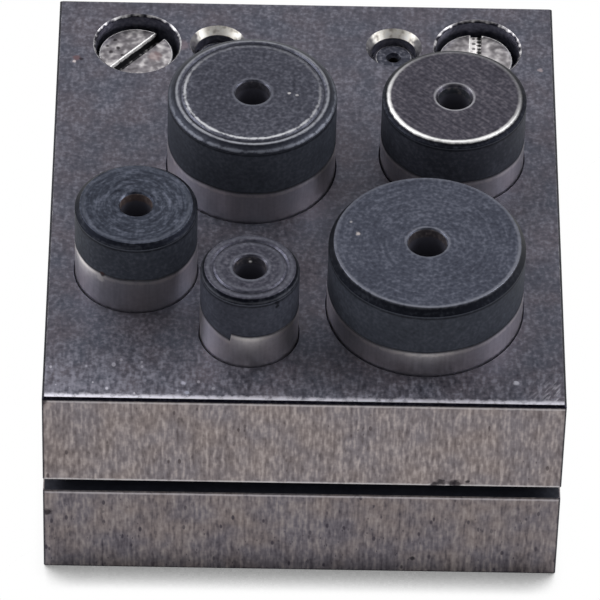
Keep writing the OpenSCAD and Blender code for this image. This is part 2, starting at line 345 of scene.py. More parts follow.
@dataclass
class Graph:
    """Short names for wiring one node tree.

    Attributes:
        tree: The node tree that is wired.
    """

    tree: bpy.types.NodeTree

    def node(self, kind: str, inputs: dict | None = None, **settings: object) -> Node:
        """Adds a node.

        Args:
            kind: Blender's type name, without ShaderNode.
            inputs: Values or sockets for its inputs, by name or number.
            **settings: Its own settings.

        Returns:
            The node.
        """
        made = self.tree.nodes.new("ShaderNode" + kind)
        for name, value in settings.items():
            setattr(made, name, value)
        for key, value in (inputs or {}).items():
            self.put(made.inputs[key], value)
        return made

    def put(self, socket: Socket, value: Value) -> None:
        """Links a socket to another, or sets its number."""
        if isinstance(value, Socket):
            self.tree.links.new(value, socket)
        else:
            socket.default_value = value

    def math(self, operation: str, first: Value, second: Value = 0.0, clamp: bool = False) -> Socket:
        """A sum on one or two numbers."""
        return self.node("Math", {0: first, 1: second}, operation=operation, use_clamp=clamp).outputs[0]

    def plus(self, first: Value, second: Value, clamp: bool = False) -> Socket:
        """The first number and the second."""
        return self.math("ADD", first, second, clamp)

    def less(self, first: Value, second: Value, clamp: bool = False) -> Socket:
        """The first number less the second."""
        return self.math("SUBTRACT", first, second, clamp)

    def times(self, first: Value, second: Value, clamp: bool = False) -> Socket:
        """The first number times the second."""
        return self.math("MULTIPLY", first, second, clamp)

    def vector(self, operation: str, first: Value, second: Value = (0, 0, 0)) -> Socket:
        """A sum on one or two vectors."""
        return self.node("VectorMath", {0: first, 1: second}, operation=operation).outputs[0]

    def length(self, vector: Value) -> Socket:
        """Length of a vector."""
        return self.node("VectorMath", {0: vector}, operation="LENGTH").outputs["Value"]

    def ramp(self, value: Value, low: Value, high: Value) -> Socket:
        """Rises smoothly from 0 where the value is low to 1 where it is high."""
        made = self.node("MapRange", {"Value": value, "From Min": low, "From Max": high},
                         interpolation_type="SMOOTHSTEP")
        return made.outputs["Result"]

    def mix(self, share: Value, first: Value, second: Value) -> Socket:
        """Mixes two colours: the first where the share is 0, the second where it is 1."""
        return self.node("Mix", {0: share, 6: first, 7: second}, data_type="RGBA").outputs[2]

    def cover(self, under: Value, over: Value, mask: Value, strength: Value) -> Socket:
        """Lays one colour over another, by a mask times a strength."""
        return self.mix(self.times(mask, strength), under, over)

    def shades(self, level: Value, dark: Value, usual: Value, light: Value) -> Socket:
        """Mixes three colours in straight steps: dark where the level is -1, usual at 0 and light at 1."""
        lighter = self.mix(self.times(level, 1.0, clamp=True), usual, light)
        return self.mix(self.times(level, -1.0, clamp=True), lighter, dark)

    def total(self, *terms: tuple[Value, Value]) -> Socket:
        """Adds up numbers, each times its weight."""
        level: Value = 0.0
        for value, weight in terms:
            level = self.node("Math", {0: value, 1: weight, 2: level}, operation="MULTIPLY_ADD").outputs[0]
        return level

    def noise(self, vector: Value, detail: float = 2.0, roughness: float = 0.5) -> Socket:
        """Smooth noise about 0, mostly between -1 and 1, with features one unit wide."""
        made = self.node("TexNoise", {"Vector": vector, "Scale": 1.0, "Detail": detail,
                                      "Roughness": roughness})
        return self.times(self.less(made.outputs[0], 0.5), 3.0)

    def place(self) -> Socket:
        """The point on the surface, in millimetres in the model's frame."""
        return self.vector("MULTIPLY", self.node("TexCoord").outputs["Object"], (1 / MM,) * 3)

    def parts(self, vector: Value) -> list[Socket]:
        """The x, y and z of a vector."""
        return list(self.node("SeparateXYZ", {0: vector}).outputs)

    def join(self, x: Value, y: Value, z: Value) -> Socket:
        """A vector of three numbers."""
        return self.node("CombineXYZ", {0: x, 1: y, 2: z}).outputs[0]

    def spun(self, vector: Value, degrees: float) -> Socket:
        """A vector turned about the upright axis."""
        return self.node("Mapping", {"Vector": vector, "Rotation": (0, 0, math.radians(degrees))}).outputs[0]


class Effect(Enum):
    """The surface effects that several materials share."""

    MOTTLE = "mottle"
    GRAIN = "grain"
    WORN_LINE = "wear_and_lighting_line"
    TURNING = "turning"
    SPOT = "spot"


class Effects:
    """Builds each shared effect once, as a node group with named inputs and outputs."""

    def __init__(self) -> None:
        """Starts with no group made."""
        self._made: dict[Effect, bpy.types.NodeTree] = {}

    def use(self, graph: Graph, effect: Effect, place: Value, **inputs: Value) -> bpy.types.NodeOutputs:
        """Places an effect in a material.

        Args:
            graph: The material's graph.
            effect: Which effect.
            place: The point on the surface.
            **inputs: Its other inputs, by name, with _ for a space.

        Returns:
            Its outputs, which are read by name.
        """
        if effect not in self._made:
            self._made[effect] = getattr(self, "_" + effect.value)()
        made = graph.tree.nodes.new("ShaderNodeGroup")
        made.node_tree = self._made[effect]
        graph.put(made.inputs["Place"], place)
        for name, value in inputs.items():
            graph.put(made.inputs[name.replace("_", " ")], value)
        return made.outputs

    @staticmethod
    def _group(effect: Effect, takes: dict[str, float | tuple],
               gives: Sequence[str]) -> tuple[Graph, dict[str, Socket], Callable[[str, Socket], None]]:
        """Starts a group, whose first input is the point on the surface.

        Args:
            effect: The effect, which names the group.
            takes: Its other inputs and their usual values. A tuple makes a vector.
            gives: Outputs, each a number.

        Returns:
            The group's graph, its inputs by name, and a function that sets an output.
        """
        tree = bpy.data.node_groups.new(effect.value, "ShaderNodeTree")
        takes = {"Place": (0.0, 0.0, 0.0), **takes}
        for name, usual in takes.items():
            kind = "NodeSocketVector" if isinstance(usual, tuple) else "NodeSocketFloat"
            tree.interface.new_socket(name, in_out="INPUT", socket_type=kind).default_value = usual
        for name in gives:
            tree.interface.new_socket(name, in_out="OUTPUT", socket_type="NodeSocketFloat")
        source, end = tree.nodes.new("NodeGroupInput"), tree.nodes.new("NodeGroupOutput")
        graph = Graph(tree)
        given = {name: source.outputs[name] for name in takes}
        return graph, given, lambda name, socket: graph.put(end.inputs[name], socket)

    def _mottle(self) -> bpy.types.NodeTree:
        """Blotches of a worn or darkened face: fine grain, clouds, and broad patches of two tints."""
        graph, given, give = self._group(Effect.MOTTLE, {"Size": 0.5, "Cloud size": 6.0},
                                         ("Fine", "Cloud", "Tint"))
        fine, cloud = (graph.vector("DIVIDE", given["Place"], graph.join(*[given[size]] * 3))
                       for size in ("Size", "Cloud size"))
        elsewhere = graph.vector("ADD", cloud, (31.0, 17.0, 5.0))
        give("Fine", graph.noise(fine, 1.0, 0.5))
        give("Cloud", graph.noise(cloud, 3.0, 0.6))
        give("Tint", graph.ramp(graph.noise(elsewhere, 2.0, 0.6), -0.7, 0.7))
        return graph.tree

    def _grain(self) -> bpy.types.NodeTree:
        """Streaks of a grinding wheel, with hairlines and pits; Streak is the size of one in x, y and z."""
        graph, given, give = self._group(Effect.GRAIN, {"Streak": (0.4, 0.4, 1.6), "Pit share": 0.3},
                                         ("Streaks", "Hairlines", "Pits"))
        scaled = graph.vector("DIVIDE", given["Place"], given["Streak"])
        give("Streaks", graph.noise(scaled, 1.0, 0.5))
        give("Hairlines", graph.noise(graph.vector("MULTIPLY", scaled, (1.0, 1.0, 0.12)), 1.0))
        spread = graph.vector("MULTIPLY", scaled, (0.55, 0.55, 0.9))
        cells = graph.node("TexVoronoi", {"Vector": spread, "Scale": 1.0}).outputs
        chance, size, _ = graph.parts(cells["Color"])
        radius = graph.times(size, 0.22)
        dent = graph.less(1.0, graph.ramp(cells["Distance"], radius, graph.plus(radius, 0.14)))
        give("Pits", graph.times(dent, graph.math("LESS_THAN", chance, given["Pit share"])))
        return graph.tree

    def _wear_and_lighting_line(self) -> bpy.types.NodeTree:
        """A soft line along an edge or a ring: Distance is from its middle, and Ragged breaks it up."""
        graph, given, give = self._group(Effect.WORN_LINE, {"Distance": 0.0, "Width": 0.3, "Ragged": 0.5},
                                         ("Mask",))
        wander = graph.noise(graph.vector("MULTIPLY", given["Place"], (1.1,) * 3), 3.0, 0.65)
        waver = graph.times(wander, given["Ragged"])
        width = graph.times(given["Width"], graph.plus(1.0, waver))
        near = graph.less(1.0, graph.ramp(graph.math("ABSOLUTE", given["Distance"]), 0.0, width))
        share = graph.plus(1.0, graph.times(waver, 1.6), clamp=True)
        give("Mask", graph.times(near, share))
        return graph.tree

    def _turning(self) -> bpy.types.NodeTree:
        """Marks of a lathe tool: noise that changes fast with the radius and slowly round the axis."""
        graph, given, give = self._group(Effect.TURNING, {"Pitch": 0.25, "Arc": 1.5}, ("Rings", "Radius"))
        x, y, _ = graph.parts(given["Place"])
        level = graph.join(x, y, 0.0)
        radius = graph.length(level)
        across = graph.parts(graph.vector("NORMALIZE", level))
        polar = graph.join(graph.times(across[0], given["Arc"]), graph.times(across[1], given["Arc"]),
                           graph.math("DIVIDE", radius, given["Pitch"]))
        give("Rings", graph.noise(polar, 2.0, 0.6))
        give("Radius", radius)
        return graph.tree

    def _spot(self) -> bpy.types.NodeTree:
        """A small stain with a ragged outline, about a centre."""
        graph, given, give = self._group(Effect.SPOT, {"Centre": (0.0, 0.0, 0.0), "Size": 1.0}, ("Mask",))
        away = graph.length(graph.vector("SUBTRACT", given["Place"], given["Centre"]))
        ragged = graph.times(graph.noise(graph.vector("MULTIPLY", given["Place"], (2.2,) * 3), 3.0), 0.35)
        spread = graph.plus(graph.math("DIVIDE", away, given["Size"]), ragged)
        give("Mask", graph.less(1.0, graph.ramp(spread, 0.35, 1.0)))
        return graph.tree


EFFECTS = Effects()


def start_material(name: str, metallic: float = 1.0) -> tuple[Graph, Node, Material]:
    """Starts a material with its one shader.

    Args:
        name: Name of the material.
        metallic: How metallic it is, from 0 to 1.

    Returns:
        Its graph, its shader and the material.
    """
    material = bpy.data.materials.new(name)
    material.use_nodes = True
    material.node_tree.nodes.clear()
    graph = Graph(material.node_tree)
    shader = graph.node("BsdfPrincipled", {"Metallic": metallic})
    graph.node("OutputMaterial", {"Surface": shader.outputs[0]})
    return graph, shader, material


def add_relief(graph: Graph, shader: Node, height: Value, depth: float) -> None:
    """Lets a height move the shading.

    Args:
        graph: The material's graph.
        shader: Its shader.
        height: The height, in units of the depth.
        depth: How far the surface moves for one unit, in millimetres.
    """
    bump = graph.node("Bump", {"Height": height, "Distance": depth * MM, "Strength": 1.0})
    graph.put(shader.inputs["Normal"], bump.outputs[0])


@dataclass(frozen=True)
class Stain:
    """A small stain, chip or bright mark on a face.

    Attributes:
        place: Its centre.
        size: Its radius.
        colour: Its colour.
        strength: How fully it covers what is under it.
    """

    place: tuple[float, float, float]
    size: float
    colour: Colour
    strength: float = 0.85


def add_stains(graph: Graph, place: Value, colour: Value, stains: Sequence[Stain]) -> Value:
    """Lays stains over a colour.

    Args:
        graph: The material's graph.
        place: The point on the surface.
        colour: The colour under them.
        stains: The stains.

    Returns:
        The colour with the stains on it.
    """
    for stain in stains:
        spot = EFFECTS.use(graph, Effect.SPOT, place, Centre=stain.place, Size=stain.size)["Mask"]
        colour = graph.cover(colour, stain.colour, spot, stain.strength)
    return colour


def marks(colour: Colour, *spots: Sequence[float], strength: float = 0.85) -> tuple[Stain, ...]:
    """Makes stains of one colour.

    Args:
        colour: Their colour.
        *spots: The x, y, z and size of each.
        strength: How fully they cover what is under them.

    Returns:
        The stains.
    """
    return tuple(Stain(tuple(spot[:3]), spot[3], colour, strength) for spot in spots)


def wear_and_lighting_line(graph: Graph, place: Value, distance: Value, width: float, ragged: float = 0.5) -> Socket:
    """Masks a soft line: worn steel on some edges, and painted highlights and painted shade on other edges
    and on rings.

    Args:
        graph: The material's graph.
        place: The point on the surface.
        distance: How far the point is from the middle of the line.
        width: How far the line reaches from its middle.
        ragged: How broken up it is.

    Returns:
        The mask: 1 in the middle of the line and 0 beside it.
    """
    line = EFFECTS.use(graph, Effect.WORN_LINE, place, Distance=distance, Width=width, Ragged=ragged)
    return line["Mask"]


@dataclass(frozen=True)
class EdgeLine:
    """A line that runs level round the sides of a plate, near one of its edges.

    Attributes:
        height: Height of its middle.
        width: Its width.
        colour: Its colour.
        strength: How fully it covers what is under it.
    """

    height: float
    width: float
    colour: Colour
    strength: float = 0.8


@dataclass(frozen=True)
class GroundSteel:
    """A flat face as a surface grinder leaves it, a little stained and pitted.

    Attributes:
        name: Name of the material.
        warm: Its colour where it is brownish.
        cool: Its colour where it is bluish.
        light: Colour of the lighter streaks.
        dark: Colour of the darker streaks and pits.
        streak: Size of a streak in x, y and z.
        strength: How strongly the streaks show.
        clouds: How strongly broad darker and lighter areas show.
        pits: Share of the face's cells that hold a pit.
        roughness: Its usual roughness.
        fade: How much cooler and darker the face gets towards its foot.
        foot: Heights between which it does.
        lines: Lines along its edges: painted highlights where light, and painted shade where dark.
        half: Half of the plate's width and depth, which places its upright corners.
        corner: Colour of the dark next to those corners.
        corner_reach: Distances from a corner, in x and y together, at which the dark ends and is full.
        relief: Depth of its streaks and pits.
        stains: Chips and stains on it.
    """

    name: str
    warm: Colour
    cool: Colour
    light: Colour
    dark: Colour
    streak: tuple[float, float, float] = (0.42, 0.42, 1.5)
    strength: float = 0.9
    clouds: float = 0.25
    pits: float = 0.2
    roughness: float = 0.42
    fade: float = 0.0
    foot: tuple[float, float] = (0.0, 1.0)
    lines: tuple[EdgeLine, ...] = ()
    half: tuple[float, float] = (100.0, 100.0)
    corner: Colour = tone(24, 22, 28)
    corner_reach: tuple[float, float] = (0.32, 0.1)
    relief: float = 0.004
    stains: tuple[Stain, ...] = ()

    def material(self) -> Material:
        """Builds the material."""
        graph, shader, material = start_material(self.name)
        place = graph.place()
        x, y, height = graph.parts(place)
        grain = EFFECTS.use(graph, Effect.GRAIN, place, Streak=self.streak, Pit_share=self.pits)
        mottle = EFFECTS.use(graph, Effect.MOTTLE, place, Size=0.45)
        low = graph.times(graph.ramp(height, self.foot[1], self.foot[0]), self.fade)
        cloud = graph.less(mottle["Cloud"], low)
        level = graph.total((grain["Streaks"], self.strength), (grain["Hairlines"], 0.3),
                            (mottle["Fine"], 0.2), (cloud, self.clouds))
        tint = graph.less(mottle["Tint"], graph.times(low, 0.6), clamp=True)
        colour = graph.shades(level, self.dark, graph.mix(tint, self.cool, self.warm), self.light)
        pits = graph.times(grain["Pits"], graph.ramp(cloud, 0.5, -0.3))
        colour = graph.cover(colour, self.dark, pits, 0.8)
        # The lines along the edges: light ones are painted highlights, one of them partly worn steel, and
        # dark ones are painted shade.
        for line in self.lines:
            worn = wear_and_lighting_line(graph, place, graph.less(height, line.height), line.width)
            colour = graph.cover(colour, line.colour, worn, line.strength)
        inside = graph.total((graph.math("ABSOLUTE", x), -1.0), (graph.math("ABSOLUTE", y), -1.0),
                             (1.0, sum(self.half)))
        colour = graph.cover(colour, self.corner, graph.ramp(inside, *self.corner_reach), 0.85)
        graph.put(shader.inputs["Base Color"], add_stains(graph, place, colour, self.stains))
        graph.put(shader.inputs["Roughness"], graph.total((level, 0.06), (1.0, self.roughness)))
        add_relief(graph, shader, graph.less(grain["Streaks"], pits), self.relief)
        return material


@dataclass(frozen=True)
class BluedTop:
    """The darkened top of the guide plate, with a bright line along its front edge that is worn steel and
    painted highlight.

    Attributes:
        name: Name of the material.
        half_width: Half of the plate's width.
        half_depth: Half of the plate's depth.
        edge: Width of the plate's bevel.
        height: Height of the face.
        cool: Its colour where it is bluish.
        warm: Its colour where it is brownish.
        light: Colour of its lighter grain.
        dark: Colour of its darker grain.
        bare: Colour of the worn steel along the front edge and in the scuffs and specks.
        worn: Depth of the streaky zone behind the front edge.
        scuffed: Reach of the scuffs round the right front corner, and where they are full.
        scuff_angle: Direction of the scuffs, in degrees.
        roughness: Its usual roughness.
        relief: Depth of its grain.
        stains: Small stains on it.
    """

    name: str
    half_width: float
    half_depth: float
    edge: float
    height: float
    cool: Colour = tone(84, 86, 97)
    warm: Colour = tone(93, 89, 97)
    light: Colour = tone(132, 131, 142)
    dark: Colour = tone(56, 56, 65)
    bare: Colour = tone(222, 220, 230)
    worn: float = 13.0
    scuffed: tuple[float, float] = (7.0, 0.5)
    scuff_angle: float = 35.0
    roughness: float = 0.58
    relief: float = 0.004
    stains: tuple[Stain, ...] = ()

    def material(self) -> Material:
        """Builds the material."""
        graph, shader, material = start_material(self.name)
        place = graph.place()
        x, y, _ = graph.parts(place)
        mottle = EFFECTS.use(graph, Effect.MOTTLE, place, Size=0.5)
        streaks = EFFECTS.use(graph, Effect.GRAIN, place, Streak=(0.5, 1.5, 1.0))["Streaks"]
        front = graph.plus(y, self.half_depth - self.edge)
        near = graph.ramp(front, self.worn, 0.0)
        left = graph.ramp(x, 0.0, -self.half_width)
        level = graph.total((mottle["Fine"], 0.6), (streaks, 0.3), (mottle["Cloud"], 0.14),
                            (graph.times(near, streaks), 0.5), (graph.times(near, left), 0.55))
        colour = graph.shades(level, self.dark, graph.mix(mottle["Tint"], self.cool, self.warm), self.light)
        away = graph.vector("SUBTRACT", place, (self.half_width, -self.half_depth, self.height))
        across = graph.spun(place, self.scuff_angle)
        scuffs = EFFECTS.use(graph, Effect.GRAIN, across, Streak=(0.35, 1.6, 1.0))
        scuffed = graph.times(graph.ramp(graph.length(away), *self.scuffed),
                              graph.ramp(scuffs["Streaks"], -0.1, 0.7))
        # The bright line along the front edge: worn steel and a painted highlight.
        bright_line = wear_and_lighting_line(graph, place, graph.less(front, 0.2), 0.7, 0.7)
        dots = EFFECTS.use(graph, Effect.GRAIN, place, Streak=(0.5, 0.7, 1.0), Pit_share=0.25)["Pits"]
        specks = graph.times(dots, graph.times(near, graph.total((left, 0.8), (1.0, 0.2))))
        wear = graph.times(bright_line, graph.total((left, 0.25), (1.0, 0.75)))
        wear = graph.math("MAXIMUM", wear, graph.times(scuffed, 0.4))
        wear = graph.math("MAXIMUM", wear, graph.times(specks, 0.6))
        colour = graph.mix(wear, colour, self.bare)
        graph.put(shader.inputs["Base Color"], add_stains(graph, place, colour, self.stains))
        graph.put(shader.inputs["Roughness"], graph.total((level, 0.08), (1.0, self.roughness)))
        add_relief(graph, shader, level, self.relief)
        return material


@dataclass(frozen=True)
class PlainSteel:
    """Steel with a fine mottled finish, for bores, bevels, rims and small parts.

    Attributes:
        name: Name of the material.
        colour: Its usual colour.
        light: Colour of its lighter grain.
        dark: Colour of its darker grain.
        roughness: Its usual roughness.
        metallic: How metallic it is.
        grain: Size of the grain.
        relief: Depth of the grain.
        contrast: How strongly the grain shows.
        lower_from: Height below which it turns to a second colour, if it does; each use says what this
            paints.
        lower_blend: Height over which it turns.
        lower_colour: The second colour.
        stains: Stains on it.
    """

    name: str
    colour: Colour
    light: Colour
    dark: Colour
    roughness: float = 0.4
    metallic: float = 1.0
    grain: float = 0.5
    relief: float = 0.004
    contrast: float = 0.6
    lower_from: float | None = None
    lower_blend: float = 0.25
    lower_colour: Colour = tone(16, 15, 20)
    stains: tuple[Stain, ...] = ()

    def material(self) -> Material:
        """Builds the material."""
        graph, shader, material = start_material(self.name, self.metallic)
        place = graph.place()
        mottle = EFFECTS.use(graph, Effect.MOTTLE, place, Size=self.grain)
        level = graph.total((mottle["Fine"], self.contrast), (mottle["Cloud"], 0.3))
        colour = graph.shades(level, self.dark, self.colour, self.light)
        # Below the given height the colour turns to the second colour, which paints light or shade as each
        # use says.
        if self.lower_from is not None:
            height = graph.total((graph.parts(place)[2], 1.0), (level, 0.2))
            colour = graph.mix(graph.ramp(height, self.lower_from, self.lower_from - self.lower_blend), colour, self.lower_colour)
        graph.put(shader.inputs["Base Color"], add_stains(graph, place, colour, self.stains))
        graph.put(shader.inputs["Roughness"], graph.total((level, 0.05), (1.0, self.roughness)))
        add_relief(graph, shader, level, self.relief)
        return material


@dataclass(frozen=True)
class Countersink:
    """The bevel round a dowel hole, of bare steel: bright on its far side, a painted highlight, and dark like
    the plate on its near side, painted shade.

    Attributes:
        name: Name of the material.
        x: Distance of both dowels from the middle of the block.
        y: How far back they are.
        bright: Colour of its bare steel where the painted highlight falls.
        dull: Colour of the rest, painted shade.
        highlight_at: Direction in degrees in which the painted highlight is strongest.
        roughness: Its roughness.
    """

    name: str
    x: float
    y: float
    bright: Colour = tone(248, 244, 236)
    dull: Colour = tone(62, 62, 72)
    highlight_at: float = 88.0
    roughness: float = 0.4

    def material(self) -> Material:
        """Builds the material."""
        graph, shader, material = start_material(self.name)
        place = graph.place()
        x, y, _ = graph.parts(place)
        along = graph.total((graph.math("SIGN", x), -self.x), (x, 1.0))
        level = graph.join(along, graph.less(y, self.y), 0.0)
        across = graph.parts(graph.vector("NORMALIZE", level))
        angle = math.radians(self.highlight_at)
        fine = EFFECTS.use(graph, Effect.MOTTLE, place, Size=0.8)["Fine"]
        # The bare steel is painted bright on the side that faces the light and dull on the other: painted
        # highlight and painted shade.
        facing = graph.total((across[0], math.cos(angle)), (across[1], math.sin(angle)), (fine, 0.15))
        share = graph.total((graph.ramp(facing, 0.42, 0.8), 0.9), (graph.ramp(facing, -0.1, 0.4), 0.1))
        bare = graph.shades(fine, tone(150, 140, 132), self.bright, tone(255, 255, 255))
        graph.put(shader.inputs["Base Color"], graph.mix(share, self.dull, bare))
        graph.put(shader.inputs["Roughness"], self.roughness)
        add_relief(graph, shader, fine, 0.006)
        return material


@dataclass(frozen=True)
class Ring:
    """A ring on the head of a punch that is lighter or darker than what lies beside it: a light ring is a
    painted highlight on a rim, bevel or groove edge, partly worn steel, and a dark ring is painted shade.

    Attributes:
        radius: Its middle.
        width: From its middle to where it ends.
        colour: Its colour.
        strength: How fully it covers what is under it, from 0 to 1.
        strongest_at: Direction in degrees in which it shows most, anticlockwise from the right: the side on
            which its painted highlight, or on a dark ring its painted shade, is strongest.
        spread: How much it fades on the far side, from 0 (not at all) to 1, as painted light fades away from
            the lit side.
        ragged: How broken up it is.
    """

    radius: float
    width: float
    colour: Colour
    strength: float = 1.0
    strongest_at: float = -90.0
    spread: float = 0.3
    ragged: float = 0.5


@dataclass(frozen=True)
class PunchFinish:
    """How one punch looks.

    Attributes:
        top: Colour of its top.
        top_light: Colour of the lighter marks on its top.
        top_dark: Colour of the darker marks on its top.
        side: Colour of its black side.
        shank: Colour of its bare shank.
        grain: How strongly the grain of its top shows.
        turning: How strongly the turning marks show.
        pitch: Distance between them.
        scratches: How strongly straight scratches show, and their direction in degrees.
        rings: Its rings, from below to above.
        spots: Small marks on its top and side.
        hole: Colour inside its hole.
        bevel: Colour of its bevel.
        corner: Colour of the line where its bevel meets its side: a painted highlight along that edge where
            it is lighter than the side, painted shade where it is darker.
    """

    top: Colour
    top_light: Colour
    top_dark: Colour
    side: Colour
    shank: Colour = tone(206, 202, 205)
    grain: float = 0.6
    turning: float = 0.5
    pitch: float = 0.3
    scratches: tuple[float, float] = (0.0, 0.0)
    rings: tuple[Ring, ...] = ()
    spots: tuple[Stain, ...] = ()
    hole: Colour = tone(50, 50, 58)
    bevel: Colour = tone(26, 28, 35)
    corner: Colour = tone(70, 73, 82)

    def top_material(self, name: str, centre: Sequence[float], flat: float) -> Material:
        """Builds the material of the punch's top and its bevel.

        Args:
            name: Name of the material.
            centre: x and y of the punch's axis.
            flat: Radius at which the bevel starts.

        Returns:
            The material.
        """
        graph, shader, material = start_material(name)
        place = graph.place()
        centred = graph.vector("SUBTRACT", place, (centre[0], centre[1], 0.0))
        mottle = EFFECTS.use(graph, Effect.MOTTLE, place, Size=0.5)
        turning = EFFECTS.use(graph, Effect.TURNING, centred, Pitch=self.pitch, Arc=2.5)
        radius = turning["Radius"]
        level = graph.total((mottle["Fine"], self.grain), (turning["Rings"], self.turning),
                            (mottle["Cloud"], 0.25))
        strength, direction = self.scratches
        if strength:
            lines = EFFECTS.use(graph, Effect.GRAIN, graph.spun(centred, -direction), Streak=(3.2, 0.4, 1.0))
            level = graph.total((level, 1.0), (lines["Streaks"], strength))
        colour = graph.shades(level, self.top_dark, self.top, self.top_light)
        bevel = graph.shades(graph.times(level, 0.5), tone(14, 15, 20), self.bevel, tone(76, 79, 88))
        outside = graph.ramp(radius, flat - 0.03, flat + 0.08)
        colour = graph.mix(outside, colour, bevel)
        x, y, _ = graph.parts(graph.vector("NORMALIZE", graph.vector("MULTIPLY", centred, (1, 1, 0))))
        # The rings are painted highlights and painted shade, each strongest on one side of the punch.
        for ring in self.rings:
            line = wear_and_lighting_line(graph, place, graph.less(radius, ring.radius), ring.width, ring.ragged)
            angle = math.radians(ring.strongest_at)
            facing = graph.total((x, math.cos(angle)), (y, math.sin(angle)))
            share = graph.total((graph.ramp(facing, -0.7, 0.8), ring.spread * ring.strength),
                                (1.0, (1 - ring.spread) * ring.strength))
            colour = graph.cover(colour, ring.colour, line, share)
        graph.put(shader.inputs["Base Color"], add_stains(graph, place, colour, self.spots))
        graph.put(shader.inputs["Roughness"], graph.total((level, 0.06), (outside, 0.15), (1.0, 0.42)))
        add_relief(graph, shader, level, 0.005)
        return material

    def side_material(self, name: str, corner: float) -> Material:
        """Builds the material of the punch's side: black above the dip line, bare below it.

        Args:
            name: Name of the material.
            corner: Height at which the bevel meets the side.

        Returns:
            The material.
        """
        graph, shader, material = start_material(name)
        place = graph.place()
        above = graph.node("Attribute", attribute_name="above_dip").outputs["Fac"]
        black = graph.ramp(above, -0.08, 0.08)
        mottle = EFFECTS.use(graph, Effect.MOTTLE, place, Size=0.5)
        grain = EFFECTS.use(graph, Effect.GRAIN, place, Streak=(0.35, 0.35, 5.0))
        level = graph.total((mottle["Fine"], 0.35), (mottle["Cloud"], 0.25))
        side = graph.shades(level, tone(16, 17, 22), self.side, tone(76, 78, 88))
        below = graph.less(corner, graph.parts(place)[2])
        # A line along the corner, painted highlight where lighter than the side and painted shade where
        # darker, and a dark line just below it, painted shade.
        bands = ((0.0, self.corner, 0.9), (0.38, tone(12, 13, 18), 0.75))
        for depth, colour, share in bands:
            line = wear_and_lighting_line(graph, place, graph.less(below, depth), 0.3, 0.3)
            side = graph.cover(side, colour, line, share)
        streaks = graph.total((grain["Streaks"], 0.16), (mottle["Fine"], 0.14))
        shank = graph.shades(streaks, tone(140, 136, 137), self.shank, tone(250, 246, 246))
        # A bright line on the shank just below the dip line is a painted highlight.
        bright_line = wear_and_lighting_line(graph, place, graph.plus(above, 0.5), 0.45, 0.9)
        shank = graph.cover(shank, tone(252, 246, 240), bright_line, 0.6)
        tide = graph.less(1.0, graph.ramp(graph.math("ABSOLUTE", above), 0.04, 0.3))
        colour = graph.cover(graph.mix(black, shank, side), tone(20, 21, 27), tide, 0.75)
        graph.put(shader.inputs["Base Color"], add_stains(graph, place, colour, self.spots))
        graph.put(shader.inputs["Metallic"], graph.total((black, -1.0), (1.0, 1.0)))
        graph.put(shader.inputs["Specular IOR Level"], 0.05)
        graph.put(shader.inputs["Roughness"], graph.total((black, 0.28), (1.0, 0.3)))
        add_relief(graph, shader, level, 0.003)
        return material


# ---------------------------------------------------------------------------------------------------------
# Parts
# ---------------------------------------------------------------------------------------------------------


def cad_size(node: str) -> tuple[Array, Array]:
    """Lowest and highest corner of a node of the model, in millimetres."""
    low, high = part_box(node)
    return np.array(low) / MM, np.array(high) / MM


def axis_of(node: str) -> Array:
    """x and y of the middle of a node, in millimetres."""
    low, high = cad_size(node)
    return (low + high)[:2] / 2


def place_piece(piece: bpy.types.Object, node: str, body: str) -> None:
    """Puts a piece in the place of a node.

    Args:
        piece: The piece.
        node: The node that it stands for.
        body: The body that it moves with.
    """
    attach(piece, body)
    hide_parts(node)
    log.info("%s: %d faces, on %s", piece.name, len(piece.data.polygons), body)


@dataclass(frozen=True)
class Dip:
    """The line down to which a punch was dipped in the blackening bath.

    Attributes:
        height: Height of the black band.
        waves: How far the line wanders.
        runs: Where each run below the line starts and where it ends short, in degrees, and its length.
        seed: Where in its pattern of waves the line starts.
    """

    height: float
    waves: float = 0.12
    runs: tuple[tuple[float, float, float], ...] = ()
    seed: float = 0.0

    def line(self, angles: Array) -> Array:
        """How far below the top the line lies: a few waves round the punch, and a slope for each run.

        Args:
            angles: Directions from the axis, in radians.

        Returns:
            The depth below the top, for each direction.
        """
        swell = (np.sin(2 * angles + self.seed) + 0.5 * np.sin(5 * angles + 2 * self.seed)
                 + 0.3 * np.sin(11 * angles + 3 * self.seed))
        depth = self.height + self.waves * swell
        for start, end, length in self.runs:
            share = (np.degrees(angles) - start) % 360 / (end - start)
            depth = depth + np.where(share < 1, length * share ** 1.5, 0.0)
        return depth


